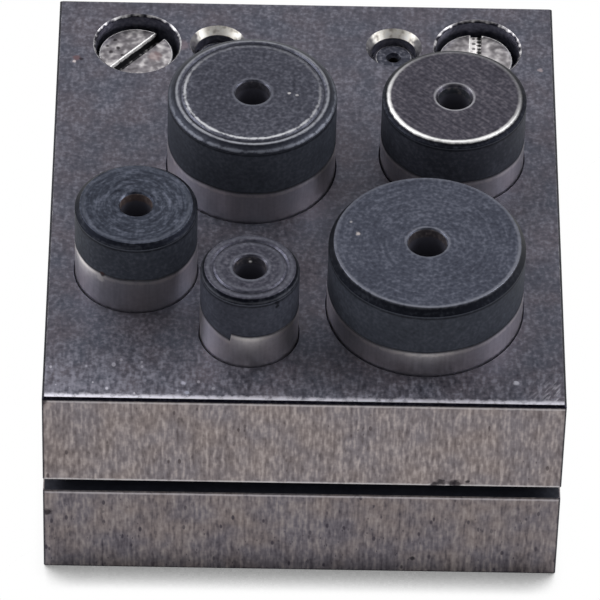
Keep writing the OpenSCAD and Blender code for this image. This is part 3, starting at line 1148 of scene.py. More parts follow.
@dataclass(frozen=True)
class Punch:
    """One punch: a cylinder with a bevelled, blackened head and a drilled hole in its top.

    Attributes:
        node: The node that it stands for.
        body: The body that it is.
        hole: Diameter of its hole.
        bevel: Width and height of its bevel.
        dip: Its dip line.
        finish: How it looks.
        ring_in: Distance from its side in to the ring turned in its top, or 0.
        ring: Width and depth of that ring.
        ring_soft: Radii at the rims of that ring and at its bottom.
        hole_depth: Depth of the straight part of the hole.
        hole_edge: Size of the bevel at the mouth of the hole.
        hole_soft: Radii at that bevel and where the drill point starts.
        hole_lit_depth: Depth in the hole below which its wall is painted lighter: painted light, so that the
            deep hole doesn't render black.
        drill_angle: Full angle of the drill point, in degrees.
        softness: Radius of the edges round the bevel.
        foot: Radius of the cutting edge.
    """

    node: str
    body: str
    hole: float
    bevel: tuple[float, float]
    dip: Dip
    finish: PunchFinish
    ring_in: float = 0.0
    ring: tuple[float, float] = (0.6, 0.15)
    ring_soft: tuple[float, float] = (0.04, 0.06)
    hole_depth: float = 12.0
    hole_edge: float = 0.2
    hole_soft: tuple[float, float] = (0.06, 0.1)
    hole_lit_depth: float = 1.3
    drill_angle: float = 118.0
    softness: float = 0.12
    foot: float = 0.03

    def build(self) -> None:
        """Builds the punch and puts it in its place."""
        low, high = cad_size(self.node)
        centre, radius, foot, top = axis_of(self.node), (high[0] - low[0]) / 2, low[2], high[2]
        hole, bottom = self.hole / 2, top - self.hole_depth
        tip = hole / math.tan(math.radians(self.drill_angle / 2))
        corners = [(0, foot), (radius, foot), (radius, top - self.bevel[1]), (radius - self.bevel[0], top)]
        radii = [0, self.foot, self.softness, self.softness]
        if self.ring_in:
            middle, half = radius - self.ring_in, self.ring[0] / 2
            corners += [(middle + half, top), (middle, top - self.ring[1]), (middle - half, top)]
            radii += [self.ring_soft[0], self.ring_soft[1], self.ring_soft[0]]
        mouth = len(corners)
        corners += [(hole + self.hole_edge, top), (hole, top - self.hole_edge),
                    (hole, bottom), (0, bottom - tip)]
        radii += [self.hole_soft[0], self.hole_soft[0], self.hole_soft[1], 0]
        profile = rounded(corners, radii)
        top_slot, side_slot, hole_slot = range(3)
        slots = {span: side_slot for span in range(3)}
        slots |= {span: hole_slot for span in range(2 * mouth + 1, 2 * len(corners))}
        angles = circle_angles()
        points, normals = turned(profile, centre, angles)
        above = points[..., 2] - (top - self.dip.line(angles))[None]
        skin = Skin()
        skin.grid(points, normals, by_span(profile, slots, top_slot), above_dip=above)
        # Deep in the hole the wall is painted lighter than near its mouth: painted light.
        inside = PlainSteel(f"{self.node}_hole", self.finish.hole, tone(112, 104, 104), tone(30, 28, 33), 0.5,
                            metallic=0.0, lower_from=top - self.hole_lit_depth, lower_colour=tone(62, 62, 72),
                            stains=self.finish.spots)
        piece = skin.build(f"finished_{self.node}", [
            self.finish.top_material(f"{self.node}_top", centre, radius - self.bevel[0]),
            self.finish.side_material(f"{self.node}_side", top - self.bevel[1]), inside.material()])
        place_piece(piece, self.node, self.body)


@dataclass(frozen=True)
class Thread:
    """A screw thread, right-handed.

    Attributes:
        radius: Radius at its crests.
        pitch: Rise in one turn.
        depth: Depth of its grooves.
        slope: How steep its flanks are, in depths for each pitch.
        root: How far below the flat bottom of a groove its flanks would meet, in depths.
        runout: Height over which it fades out at either end, in pitches.
        gap: Gap between a screw and a tapped hole.
        rows: Rows of points for each pitch.
    """

    radius: float = 3.0
    pitch: float = 1.0
    depth: float = 0.65
    slope: float = 2.6
    root: float = 0.15
    runout: float = 0.3
    gap: float = 0.05
    rows: int = 8

    def wall(self, centre: Sequence[float], low: float, high: float, inward: bool) -> tuple[Array, Array]:
        """Works out the threaded wall.

        The radius falls and rises again once for each pitch of z - pitch * a / turn.

        Args:
            centre: x and y of the axis.
            low: Height of the lower end.
            high: Height of the upper end.
            inward: Whether the wall faces its axis and runs down, as in a tapped hole.

        Returns:
            (rows, columns, 3) points and normals.
        """
        angles = circle_angles(FACETS // 4)[None]
        rows = int((high - low) / self.pitch * self.rows) + 1
        height = np.linspace(high, low, rows) if inward else np.linspace(low, high, rows)
        phase = (height[:, None] / self.pitch - angles / TAU) % 1
        groove = np.clip(np.abs(phase - 0.5) * self.slope - self.root, 0, 1)
        fade = np.clip(np.minimum(height - low, high - height) / (self.runout * self.pitch), 0, 1)[:, None]
        outer = self.radius + (self.gap if inward else 0.0)
        radius = outer - self.depth * (1 - groove) * fade
        points = np.stack([centre[0] + radius * np.cos(angles), centre[1] + radius * np.sin(angles),
                           np.broadcast_to(height[:, None], radius.shape)], -1)
        along = np.roll(points, -1, 1) - np.roll(points, 1, 1)
        normals = np.cross(along, np.gradient(points, axis=0))
        return points, normals / np.linalg.norm(normals, axis=-1, keepdims=True)


@dataclass(frozen=True)
class Screw:
    """One slotted screw with a plain round head.

    Attributes:
        node: The node that it stands for.
        turn: Direction of its slot, in degrees from the front edge.
        die_top: Height at which the thread starts.
        away: Distance of its axis from the middle of the block, to the left or the right.
        head: Radius and height of the head.
        edge: Radius round the top of the head.
        fillet: Radius under the head.
        slot: Width and depth of the driver slot.
        lit_wall: How far down the walls of the slot are painted light, as lit; below that they are dark.
        thread: Its thread.
        packed: How high its slot is filled with chips, which are painted white, as lit.
        stains: Stains on its head and in its slot, where a row along one wall is painted shadow.
    """

    node: str
    turn: float
    die_top: float
    away: float = 23.0
    head: tuple[float, float] = (5.0, 3.9)
    edge: float = 0.35
    fillet: float = 0.1
    slot: tuple[float, float] = (1.5, 1.7)
    lit_wall: float = 0.42
    thread: Thread = Thread()
    packed: float = 0.0
    stains: tuple[Stain, ...] = ()

    def _half_outline(self, side: int, centre: Sequence[float], inset: float) -> Profile:
        """Outline of one half of the slotted head: an arc and the chord beside the slot, both inset.

        The arc runs between the ends of the chord, which lies half a slot and the inset away from the axis.

        Args:
            side: 1 or -1, the side of the slot.
            centre: x and y of the axis.
            inset: How far inside the head's edge the outline is drawn.

        Returns:
            The outline, anticlockwise.
        """
        chord = self.slot[0] / 2 + inset
        reach = self.head[0] - inset
        start = math.asin(chord / reach)
        arc = np.linspace(start, math.pi - start, FACETS // 2)
        line = np.linspace(-1, 1, FACETS // 8)[1:-1] * reach * math.cos(start)
        points = np.concatenate([np.stack([reach * np.cos(arc), reach * np.sin(arc)], 1),
                                 np.stack([line, np.full_like(line, chord)], 1)])
        normals = np.concatenate([np.stack([np.cos(arc), np.sin(arc)], 1),
                                  np.tile([0.0, -1.0], (len(line), 1))])
        angle = math.radians(self.turn) + (0 if side > 0 else math.pi)
        spin = np.array([[math.cos(angle), math.sin(angle)], [-math.sin(angle), math.cos(angle)]])
        return Profile(points @ spin + centre, normals @ spin, np.zeros(len(points), int))

    def build(self) -> None:
        """Builds the screw and puts it in its place."""
        low, high = cad_size(self.node)
        centre = np.array([math.copysign(self.away, low[0]), (low[1] + high[1]) / 2])
        foot, top, shank = low[2], high[2], self.thread.radius
        radius, seat, floor = self.head[0], top - self.head[1], top - self.slot[1] + self.packed
        head_slot, shank_slot, wall_slot = range(3)
        neck = rounded([(shank, self.die_top), (shank, seat), (radius, seat), (radius, floor), (0, floor)],
                       [0, self.fillet, self.fillet, HAIR / 10, 0])
        end = rounded([(0, foot), (shank - HAIR, foot)], 0)
        skin = Skin()
        skin.grid(*self.thread.wall(centre, foot, self.die_top, False), shank_slot)
        skin.grid(*turned(neck, centre, circle_angles()), shank_slot)
        skin.grid(*turned(end, centre, circle_angles(FACETS // 4)), shank_slot)
        # The walls of the slot start a little below its floor. The last point only gives the crest its turn.
        wall = rounded([(0, floor - 0.2), (0, top), (-1, top)], [0, self.edge / 2, 0])
        lip = Profile(wall.points[:-1], wall.normals[:-1], wall.spans[:-1])
        for side in (-1, 1):
            points, normals = carried(lip, lambda inset, half=side: self._half_outline(half, centre, inset))
            near_chord = (np.arange(points.shape[1]) >= FACETS // 2) & (side < 0)
            rim = skin.grid(points, normals, np.where(near_chord, head_slot, wall_slot)[None])
            skin.flat([rim[-1]], head_slot, True)
        worn = tone(154, 150, 153) if self.packed else tone(136, 132, 136)
        head = PlainSteel(f"{self.node}_head", worn, tone(240, 236, 236), tone(56, 52, 56), grain=0.9,
                          relief=0.01, contrast=0.8, stains=self.stains)
        # The slot floor is dark in the left screw and white in the right one, whose chips are painted lit.
        shade = tone(236, 232, 232) if self.packed else tone(40, 39, 44)
        inner = PlainSteel(f"{self.node}_shank", shade, tone(230, 228, 228), tone(16, 15, 18), 0.5,
                           metallic=0.2, stains=self.stains)
        # The slot's walls are painted light down to lit_wall below the top, a painted highlight, and dark
        # below that.
        lit = PlainSteel(f"{self.node}_slot_wall", tone(226, 224, 224), tone(255, 255, 255),
                         tone(150, 148, 150), metallic=0.2, lower_from=top - self.lit_wall)
        piece = skin.build(f"finished_{self.node}", [head.material(), inner.material(), lit.material()])
        place_piece(piece, self.node, "block")


@dataclass(frozen=True)
class Dowel:
    """One dowel, with a centre hole in its top.

    Attributes:
        node: The node that it stands for.
        edge: Size of the bevel at both ends.
        softness: Radius of its outer edges.
        pilot: Diameter and depth of the pilot hole.
        drill_angle: Full angle of the point of the pilot hole, in degrees.
        cone: Diameter of the cone above it.
        cone_angle: Full angle of that cone, in degrees.
    """

    node: str
    edge: float = 0.6
    softness: float = 0.15
    pilot: tuple[float, float] = (1.3, 2.4)
    drill_angle: float = 118.0
    cone: float = 2.0
    cone_angle: float = 60.0

    def build(self) -> None:
        """Builds the dowel and puts it in its place."""
        low, high = cad_size(self.node)
        radius, foot, top = (high[1] - low[1]) / 2, low[2], high[2]
        inner, pilot, bottom = radius - self.edge, self.pilot[0] / 2, top - self.pilot[1]
        cone_height = (self.cone - self.pilot[0]) / 2 / math.tan(math.radians(self.cone_angle / 2))
        tip = pilot / math.tan(math.radians(self.drill_angle / 2))
        corners = [(0, foot), (inner, foot), (radius, foot + self.edge),
                   (radius, top - self.edge), (inner, top)]
        mouth = len(corners)
        corners += [(self.cone / 2, top), (pilot, top - cone_height), (pilot, bottom), (0, bottom - tip)]
        profile = rounded(corners, [0, *[self.softness] * 4, *[SOFT] * 3, 0])
        end_slot, side_slot, hole_slot = range(3)
        slots = {span: end_slot for span in range(2 * mouth - 2, 2 * mouth + 1)}
        slots |= {span: hole_slot for span in range(2 * mouth + 1, 2 * len(corners))}
        skin = Skin()
        skin.grid(*turned(profile, axis_of(self.node), circle_angles(FACETS // 2)),
                  by_span(profile, slots, side_slot))
        end = PlainSteel(f"{self.node}_end", tone(66, 68, 79), tone(140, 140, 150), tone(26, 26, 34))
        side = PlainSteel(f"{self.node}_side", tone(190, 188, 186), tone(240, 238, 236), tone(96, 94, 94),
                          0.3, contrast=1.0)
        hole = PlainSteel(f"{self.node}_centre", tone(70, 68, 70), tone(120, 118, 116), tone(20, 20, 22))
        piece = skin.build(f"finished_{self.node}", [end.material(), side.material(), hole.material()])
        place_piece(piece, self.node, "block")


@dataclass(frozen=True)
class Spacer:
    """One washer between the plates.

    Attributes:
        node: The node that it stands for.
        hole: Diameter of its hole.
        edge: Radius of its edges.
    """

    node: str
    hole: float = 6.4
    edge: float = 0.1

    def build(self) -> None:
        """Builds the spacer and puts it in its place."""
        low, high = cad_size(self.node)
        outer, inner = (high[1] - low[1]) / 2, self.hole / 2
        foot, top = low[2], high[2]
        ring = rounded([(inner, foot), (outer, foot), (outer, top), (inner, top)], self.edge, closed=True)
        skin = Skin()
        skin.grid(*turned(ring, axis_of(self.node), circle_angles(FACETS // 2)), 0, wrap=True)
        steel = PlainSteel(f"{self.node}_steel", tone(120, 118, 116), tone(180, 178, 174), tone(60, 58, 60),
                           0.38)
        piece = skin.build(f"finished_{self.node}", [steel.material()])
        place_piece(piece, self.node, "block")


class PlateSlot(IntEnum):
    """The materials of a plate, in the order of its slots."""

    TOP = 0
    SIDE = 1
    EDGE = 2
    UNDER = 3
    BORE = 4
    BRIGHT = 5
    RIM = 6


def bored(radius: float, top: float, foot: float, mouth: tuple[float, float] = (0.0, 0.0), flare: float = 0.0,
          rim: float = SOFT, land: float = LAND) -> Profile:
    """Draws the wall of a round hole, down from a ring of the face above it to a ring of the face below.

    Args:
        radius: Radius of the hole.
        top: Height of the face above.
        foot: Height of the face below.
        mouth: Width and height of the bevel at its top, if it has one.
        flare: Width and height of the bevel at its foot, if it has one.
        rim: Radius of its upper edge.
        land: Width of the ring of the face above.

    Returns:
        The wall.
    """
    width, height = mouth
    corners = [(radius + width + land, top), (radius + width, top)]
    if width:
        corners.append((radius, top - height))
    if flare:
        corners.append((radius, foot + flare))
    corners += [(radius + flare, foot), (radius + flare + LAND, foot)]
    return rounded(corners, [0, rim, *[SOFT] * (len(corners) - 3), 0])


@dataclass(frozen=True)
class Hole:
    """A round hole through a plate.

    Attributes:
        centre: x and y of its axis.
        profile: Its wall, from the top face down to the bottom face.
        slots: Material number of each span of the wall that isn't plain bore.
        thread: The thread in it, if it is tapped: then the profile is only its two ends.
    """

    centre: Sequence[float]
    profile: Profile
    slots: dict[int, int] = field(default_factory=dict)
    thread: Thread | None = None

    def cut(self, skin: Skin) -> tuple[Array, Array]:
        """Adds the wall of the hole.

        Args:
            skin: The plate's surfaces.

        Returns:
            The numbers of the points round its mouth and round its foot.
        """
        if self.thread is not None:
            top, foot = self.profile.points[0, 1], self.profile.points[-1, 1]
            index = skin.grid(*self.thread.wall(self.centre, foot, top, True), PlateSlot.BORE)
        else:
            index = skin.grid(*turned(self.profile, self.centre, circle_angles()),
                              by_span(self.profile, self.slots, PlateSlot.BORE))
        return index[0], index[-1]


@dataclass(frozen=True)
class SteppedHole(Hole):
    """A hole whose wide mouth stands on a narrower hole, which may be off its middle.

    Attributes:
        inner: The narrower hole.
    """

    inner: Hole | None = None

    def cut(self, skin: Skin) -> tuple[Array, Array]:
        """Adds the wide wall, the narrow one, and the flat step between them.

        Args:
            skin: The plate's surfaces.

        Returns:
            The numbers of the points round its mouth and round its foot.
        """
        mouth, step = super().cut(skin)
        top, foot = self.inner.cut(skin)
        skin.flat([step, top], PlateSlot.BORE, True)
        return mouth, foot


@dataclass(frozen=True)
class Plate:
    """One of the two plates: a block with broken edges and round holes.

    Attributes:
        node: The node that it stands for.
        top_edge: Size of the broken edge round its top.
        plate_edge: Size of its other broken edges.
        upper: Material of the broken edge round its top.
        lower: Material of the broken edge round its underside.
        border: Width of the strip of the top and of the underside that is made with the sides.
        crest: Radius between a broken edge and the faces beside it.
    """

    node: str
    top_edge: float
    upper: PlateSlot
    lower: PlateSlot
    plate_edge: float = 0.15
    border: float = 0.4
    crest: float = 0.02

    def _outline(self, half: Array, inset: float) -> Profile:
        """Outline of the plate at an inset: a rectangle whose corners are cut at 45 degrees and softened.

        Args:
            half: Half of its width and depth.
            inset: How far inside its sides it is drawn.

        Returns:
            The outline, anticlockwise.
        """
        x, y = half - inset
        cut = max(self.plate_edge - 2 * inset, 4 * self.crest)
        corners = [(x - cut, -y), (x, cut - y), (x, y - cut), (x - cut, y),
                   (cut - x, y), (-x, y - cut), (-x, cut - y), (cut - x, -y)]
        return rounded(corners, self.crest, closed=True)

    def shell(self, skin: Skin, holes: Sequence[Hole]) -> None:
        """Adds the sides, the holes and the two faces of the plate.

        Args:
            skin: The plate's surfaces.
            holes: Its holes.
        """
        low, high = cad_size(self.node)
        half, foot, top = (high - low)[:2] / 2, low[2], high[2]
        edge, low_edge = self.top_edge, self.plate_edge
        profile = rounded([(-low_edge - self.border, foot), (-low_edge, foot), (0, foot + low_edge),
                           (0, top - edge), (-edge, top), (-edge - self.border, top)],
                          [0, *[self.crest] * 4, 0])
        rim, side = PlateSlot.RIM, PlateSlot.SIDE
        spans = [PlateSlot.UNDER, self.lower, self.lower, rim, side, rim, self.upper, rim, PlateSlot.TOP]
        rows = by_span(profile, dict(enumerate(spans)), side)
        # Every other side of the outline is a cut corner.
        corner = (self._outline(half, 0.0).spans % 4 == 0)[None]
        slots = np.where(corner & (rows == side), PlateSlot.EDGE, rows)
        index = skin.grid(*carried(profile, lambda inset: self._outline(half, inset)), slots)
        mouths, feet = zip(*(hole.cut(skin) for hole in holes))
        skin.flat([index[-1], *mouths], PlateSlot.TOP, True)
        skin.flat([index[0], *feet], PlateSlot.UNDER, False)


@dataclass(frozen=True)
class Layout:
    """Where the holes are and how wide, as both plates share them.

    Attributes:
        punches: Centre and diameter of each punch.
        screws: Centres of the screws.
        dowels: Centres of the dowels.
    """

    punches: tuple[tuple[Array, float], ...]
    screws: tuple[Array, ...]
    dowels: tuple[Array, ...]


@dataclass(frozen=True)
class Block:
    """The two plates, with what holds them together.

    Attributes:
        layout: Where the holes are.
        guide_gap: Gap round each punch in the guide plate.
        die_gap: Gap round each punch in its die.
        guide_mouth: Width and height of the bevel at the top of each guide hole.
        guide_land: Width of the ring of the top that is made with each guide hole.
        die_foot: Size of the bevel under each die hole.
        punch_rim: Radius of the upper edge of guide and die holes.
        counterbore: Diameter of the counterbores.
        counterbore_shift: Distance by which they were bored to the right of their screws.
        counterbore_edge: Size of their worn edge.
        counterbore_floor: Radius round their floor.
        head_seat: Height on which the screw heads bear.
        screw_hole: Diameter of the screw holes.
        dowel_hole: Diameter of the dowel holes.
        dowel_mouth: Width and height of their countersink.
        worn_rim: Radius of the upper edge of counterbores and countersinks.
        thread: The thread in the die plate.
    """

    layout: Layout
    guide_gap: float = 0.05
    die_gap: float = 0.03
    guide_mouth: tuple[float, float] = (0.15, 0.25)
    guide_land: float = 0.15
    die_foot: float = 0.5
    punch_rim: float = 0.03
    counterbore: float = 11.3
    counterbore_shift: float = 0.2
    counterbore_edge: float = 0.3
    counterbore_floor: float = 0.1
    head_seat: float = 25.5
    screw_hole: float = 6.4
    dowel_hole: float = 6.04
    dowel_mouth: tuple[float, float] = (0.8, 1.05)
    worn_rim: float = 0.06
    thread: Thread = Thread()

    def _guide_holes(self, foot: float, top: float) -> list[Hole]:
        """Holes of the guide plate.

        Args:
            foot: Height of its underside.
            top: Height of its top.

        Returns:
            The holes.
        """
        face, rim, bright = PlateSlot.TOP, PlateSlot.RIM, PlateSlot.BRIGHT
        holes = []
        for centre, diameter in self.layout.punches:
            wall = bored(diameter / 2 + self.guide_gap, top, foot, self.guide_mouth, rim=self.punch_rim,
                         land=self.guide_land)
            holes.append(Hole(centre, wall, {0: face}))
        r, edge, seat = self.counterbore / 2, self.counterbore_edge, self.head_seat
        wide = rounded([(r + edge + LAND, top), (r + edge, top), (r, top - edge),
                        (r, seat), (r - LAND, seat)],
                       [0, self.worn_rim, self.worn_rim, self.counterbore_floor, 0])
        narrow = bored(self.screw_hole / 2, seat, foot)
        worn = {0: face, 1: rim, 2: rim, 3: rim}
        for centre in self.layout.screws:
            moved = (centre[0] + self.counterbore_shift, centre[1])
            holes.append(SteppedHole(moved, wide, worn, inner=Hole(centre, narrow)))
        wall = bored(self.dowel_hole / 2, top, foot, self.dowel_mouth, rim=self.worn_rim)
        sunk = {0: face, 1: face, 2: bright, 3: bright}
        return holes + [Hole(centre, wall, sunk) for centre in self.layout.dowels]

    def _die_holes(self, foot: float, top: float) -> list[Hole]:
        """Holes of the die plate.

        Args:
            foot: Height of its underside.
            top: Height of its top.

        Returns:
            The holes.
        """
        dies = [(centre, bored(diameter / 2 + self.die_gap, top, foot, flare=self.die_foot,
                               rim=self.punch_rim))
                for centre, diameter in self.layout.punches]
        tapped = rounded([(self.thread.radius, top), (self.thread.radius, foot)], 0)
        plain = bored(self.dowel_hole / 2, top, foot)
        return ([Hole(centre, wall) for centre, wall in dies]
                + [Hole(centre, tapped, thread=self.thread) for centre in self.layout.screws]
                + [Hole(centre, plain) for centre in self.layout.dowels])

    def build(self) -> None:
        """Builds both plates and puts them in their places."""
        # The faces inside the slot are nearly black: painted shade, as little light gets in.
        inner = PlainSteel("slot_face", tone(34, 36, 46), tone(46, 48, 60), tone(24, 26, 34), 0.5,
                           metallic=0.3)
        # The broken edges are nearly black: on the guide plate's top bevel and round the die plate's foot
        # this is painted shade.
        edge = PlainSteel("plate_edge", tone(24, 24, 34), tone(64, 64, 76), tone(8, 8, 14), 0.42)
        bore = PlainSteel("plate_bore", tone(90, 91, 105), tone(130, 131, 144), tone(50, 51, 62), 0.45)
        rim = PlainSteel("plate_rim", tone(116, 114, 120), tone(206, 204, 208), tone(46, 46, 54), grain=0.9,
                         contrast=1.1)
        bright = Countersink("countersink", *self.layout.dowels[1])
        shared = {PlateSlot.EDGE: edge.material(), PlateSlot.BORE: bore.material(),
                  PlateSlot.BRIGHT: bright.material(), PlateSlot.RIM: rim.material()}
        face = inner.material()
        self._guide_plate(shared | {PlateSlot.UNDER: face})
        self._die_plate(shared | {PlateSlot.TOP: face})

    @staticmethod
    def _place(node: str, skin: Skin, materials: dict[PlateSlot, Material], slot: str) -> None:
        """Puts a plate into the scene.

        Args:
            node: The node that it stands for.
            skin: Its surfaces.
            materials: Its materials.
            slot: Not used.
        """
        piece = skin.build(f"finished_{node}", [materials[number] for number in PlateSlot])
        place_piece(piece, node, "block")

    def _guide_plate(self, shared: dict[PlateSlot, Material]) -> None:
        """Builds the guide plate.

        Args:
            shared: Materials that both plates use.
        """
        low, high = cad_size("guide_plate")
        front, foot, top = low[1], low[2], high[2]
        plate = Plate("guide_plate", 0.3, PlateSlot.EDGE, PlateSlot.SIDE)
        skin = Skin()
        plate.shell(skin, self._guide_holes(foot, top))
        on_top = tuple(Stain((x, y, top), size, colour, strength) for x, y, size, colour, strength in (
            (-16.7, 29.3, 1.3, tone(128, 112, 118), 0.45), (-30.9, 26.4, 0.75, tone(106, 84, 88), 0.85),
            (-30.3, 26.2, 0.4, tone(44, 40, 46), 0.85), (-31.2, 25.7, 0.35, tone(200, 190, 190), 0.85),
            (31.6, 25.5, 0.5, tone(150, 140, 144), 0.85), (-15.5, -35.0, 0.5, tone(176, 176, 190), 0.85),
            (-15.0, -36.7, 0.5, tone(160, 162, 176), 0.85), (27.1, -34.0, 0.5, tone(180, 180, 190), 0.85)))
        chips = ((17.1, 0.3, 0.75), (17.95, 0.75, 0.8), (19.35, 0.6, 0.75), (19.9, 0.5, 0.9),
                 (21.35, 0.95, 0.4))
        on_front = marks(tone(34, 30, 35), *((x, front, foot + z, size) for x, z, size in chips),
                         (-33.3, front, 30.8, 0.7))
        face = BluedTop("guide_top", high[0], high[1], plate.top_edge, top, stains=on_top)
        # The lines along the sides: a light line along the foot over the slot, worn steel and painted
        # highlight; a black line under the top bevel, painted shade; and a fainter light line below that,
        # painted highlight.
        light, black = tone(196, 192, 194), tone(24, 22, 30)
        side = GroundSteel("guide_side", tone(131, 121, 119), tone(123, 117, 121), tone(182, 172, 169),
                           tone(72, 64, 66), strength=0.65, clouds=0.12, pits=0.4, half=(high[0], high[1]),
                           lines=(EdgeLine(foot + 0.22, 0.3, light), EdgeLine(top - 0.35, 0.25, black, 0.9),
                                  EdgeLine(top - 0.62, 0.25, light, 0.5)), stains=on_front)
        # The crests of the guide plate's edges and the counterbore rims are bright at the very top, worn
        # steel and painted highlight, and dark below that, painted shade.
        rim = PlainSteel("counterbore_rim", tone(150, 148, 152), tone(232, 230, 232), tone(60, 60, 68),
                         grain=0.8, contrast=1.0, lower_from=top - 0.02, lower_colour=tone(30, 30, 38))
        own = {PlateSlot.TOP: face.material(), PlateSlot.SIDE: side.material(), PlateSlot.RIM: rim.material()}
        self._place("guide_plate", skin, shared | own, "guide_steel")

    def _die_plate(self, shared: dict[PlateSlot, Material]) -> None:
        """Builds the die plate.

        Args:
            shared: Materials that both plates use.
        """
        low, high = cad_size("die_plate")
        front, foot, top = low[1], low[2], high[2]
        plate = Plate("die_plate", 0.15, PlateSlot.SIDE, PlateSlot.EDGE)
        skin = Skin()
        plate.shell(skin, self._die_holes(foot, top))
        # The lines along the sides: a light line under the top edge, painted highlight, and a black line at
        # the foot, painted shade.
        light, black = tone(180, 175, 178), tone(24, 22, 30)
        side = GroundSteel("die_side", tone(124, 114, 112), tone(106, 101, 107), tone(158, 150, 148),
                           tone(52, 48, 57), strength=0.6, clouds=0.3, pits=0.65, fade=0.45, foot=(0.0, 12.0),
                           half=(high[0], high[1]),
                           lines=(EdgeLine(top - 0.3, 0.3, light, 0.6), EdgeLine(0.1, 0.35, black, 0.9)),
                           stains=(Stain((-32.9, front, 10.3), 0.8, tone(24, 22, 28)),
                                   Stain((14.7, front, 2.6), 0.5, tone(30, 28, 34))))
        under = GroundSteel("die_under", tone(118, 112, 110), tone(106, 104, 108), tone(150, 146, 144),
                            tone(66, 64, 66), streak=(1.8, 0.4, 0.4))
        own = {PlateSlot.SIDE: side.material(), PlateSlot.UNDER: under.material()}
        self._place("die_plate", skin, shared | own, "die_steel")


# ---------------------------------------------------------------------------------------------------------
# Studio
# ---------------------------------------------------------------------------------------------------------


@dataclass(frozen=True)
class Softbox:
    """A square lamp that looks at a point.

    Attributes:
        name: Its name.
        place: Where it hangs, in metres.
        width: Its side, in metres.
        power: Its power, in watts.
    """

    name: str
    place: tuple[float, float, float]
    width: float
    power: float

    def hang(self, target: Vector) -> None:
        """Makes the lamp, looking at the target."""
        lamp = bpy.data.lights.new(self.name, "AREA")
        lamp.size, lamp.energy = self.width, self.power
        made = bpy.data.objects.new(self.name, lamp)
        made.location = self.place
        made.rotation_euler = (target - Vector(self.place)).to_track_quat("-Z", "Y").to_euler()
        bpy.context.scene.collection.objects.link(made)


def sees_white(graph: Graph) -> Socket:
    """1 for what the camera, a mirror or glass sees, which shows the room white, and 0 for its light."""
    path = graph.node("LightPath").outputs
    mirrored = graph.math("MAXIMUM", path["Is Camera Ray"], path["Is Glossy Ray"])
    return graph.math("MAXIMUM", mirrored, path["Is Transmission Ray"])


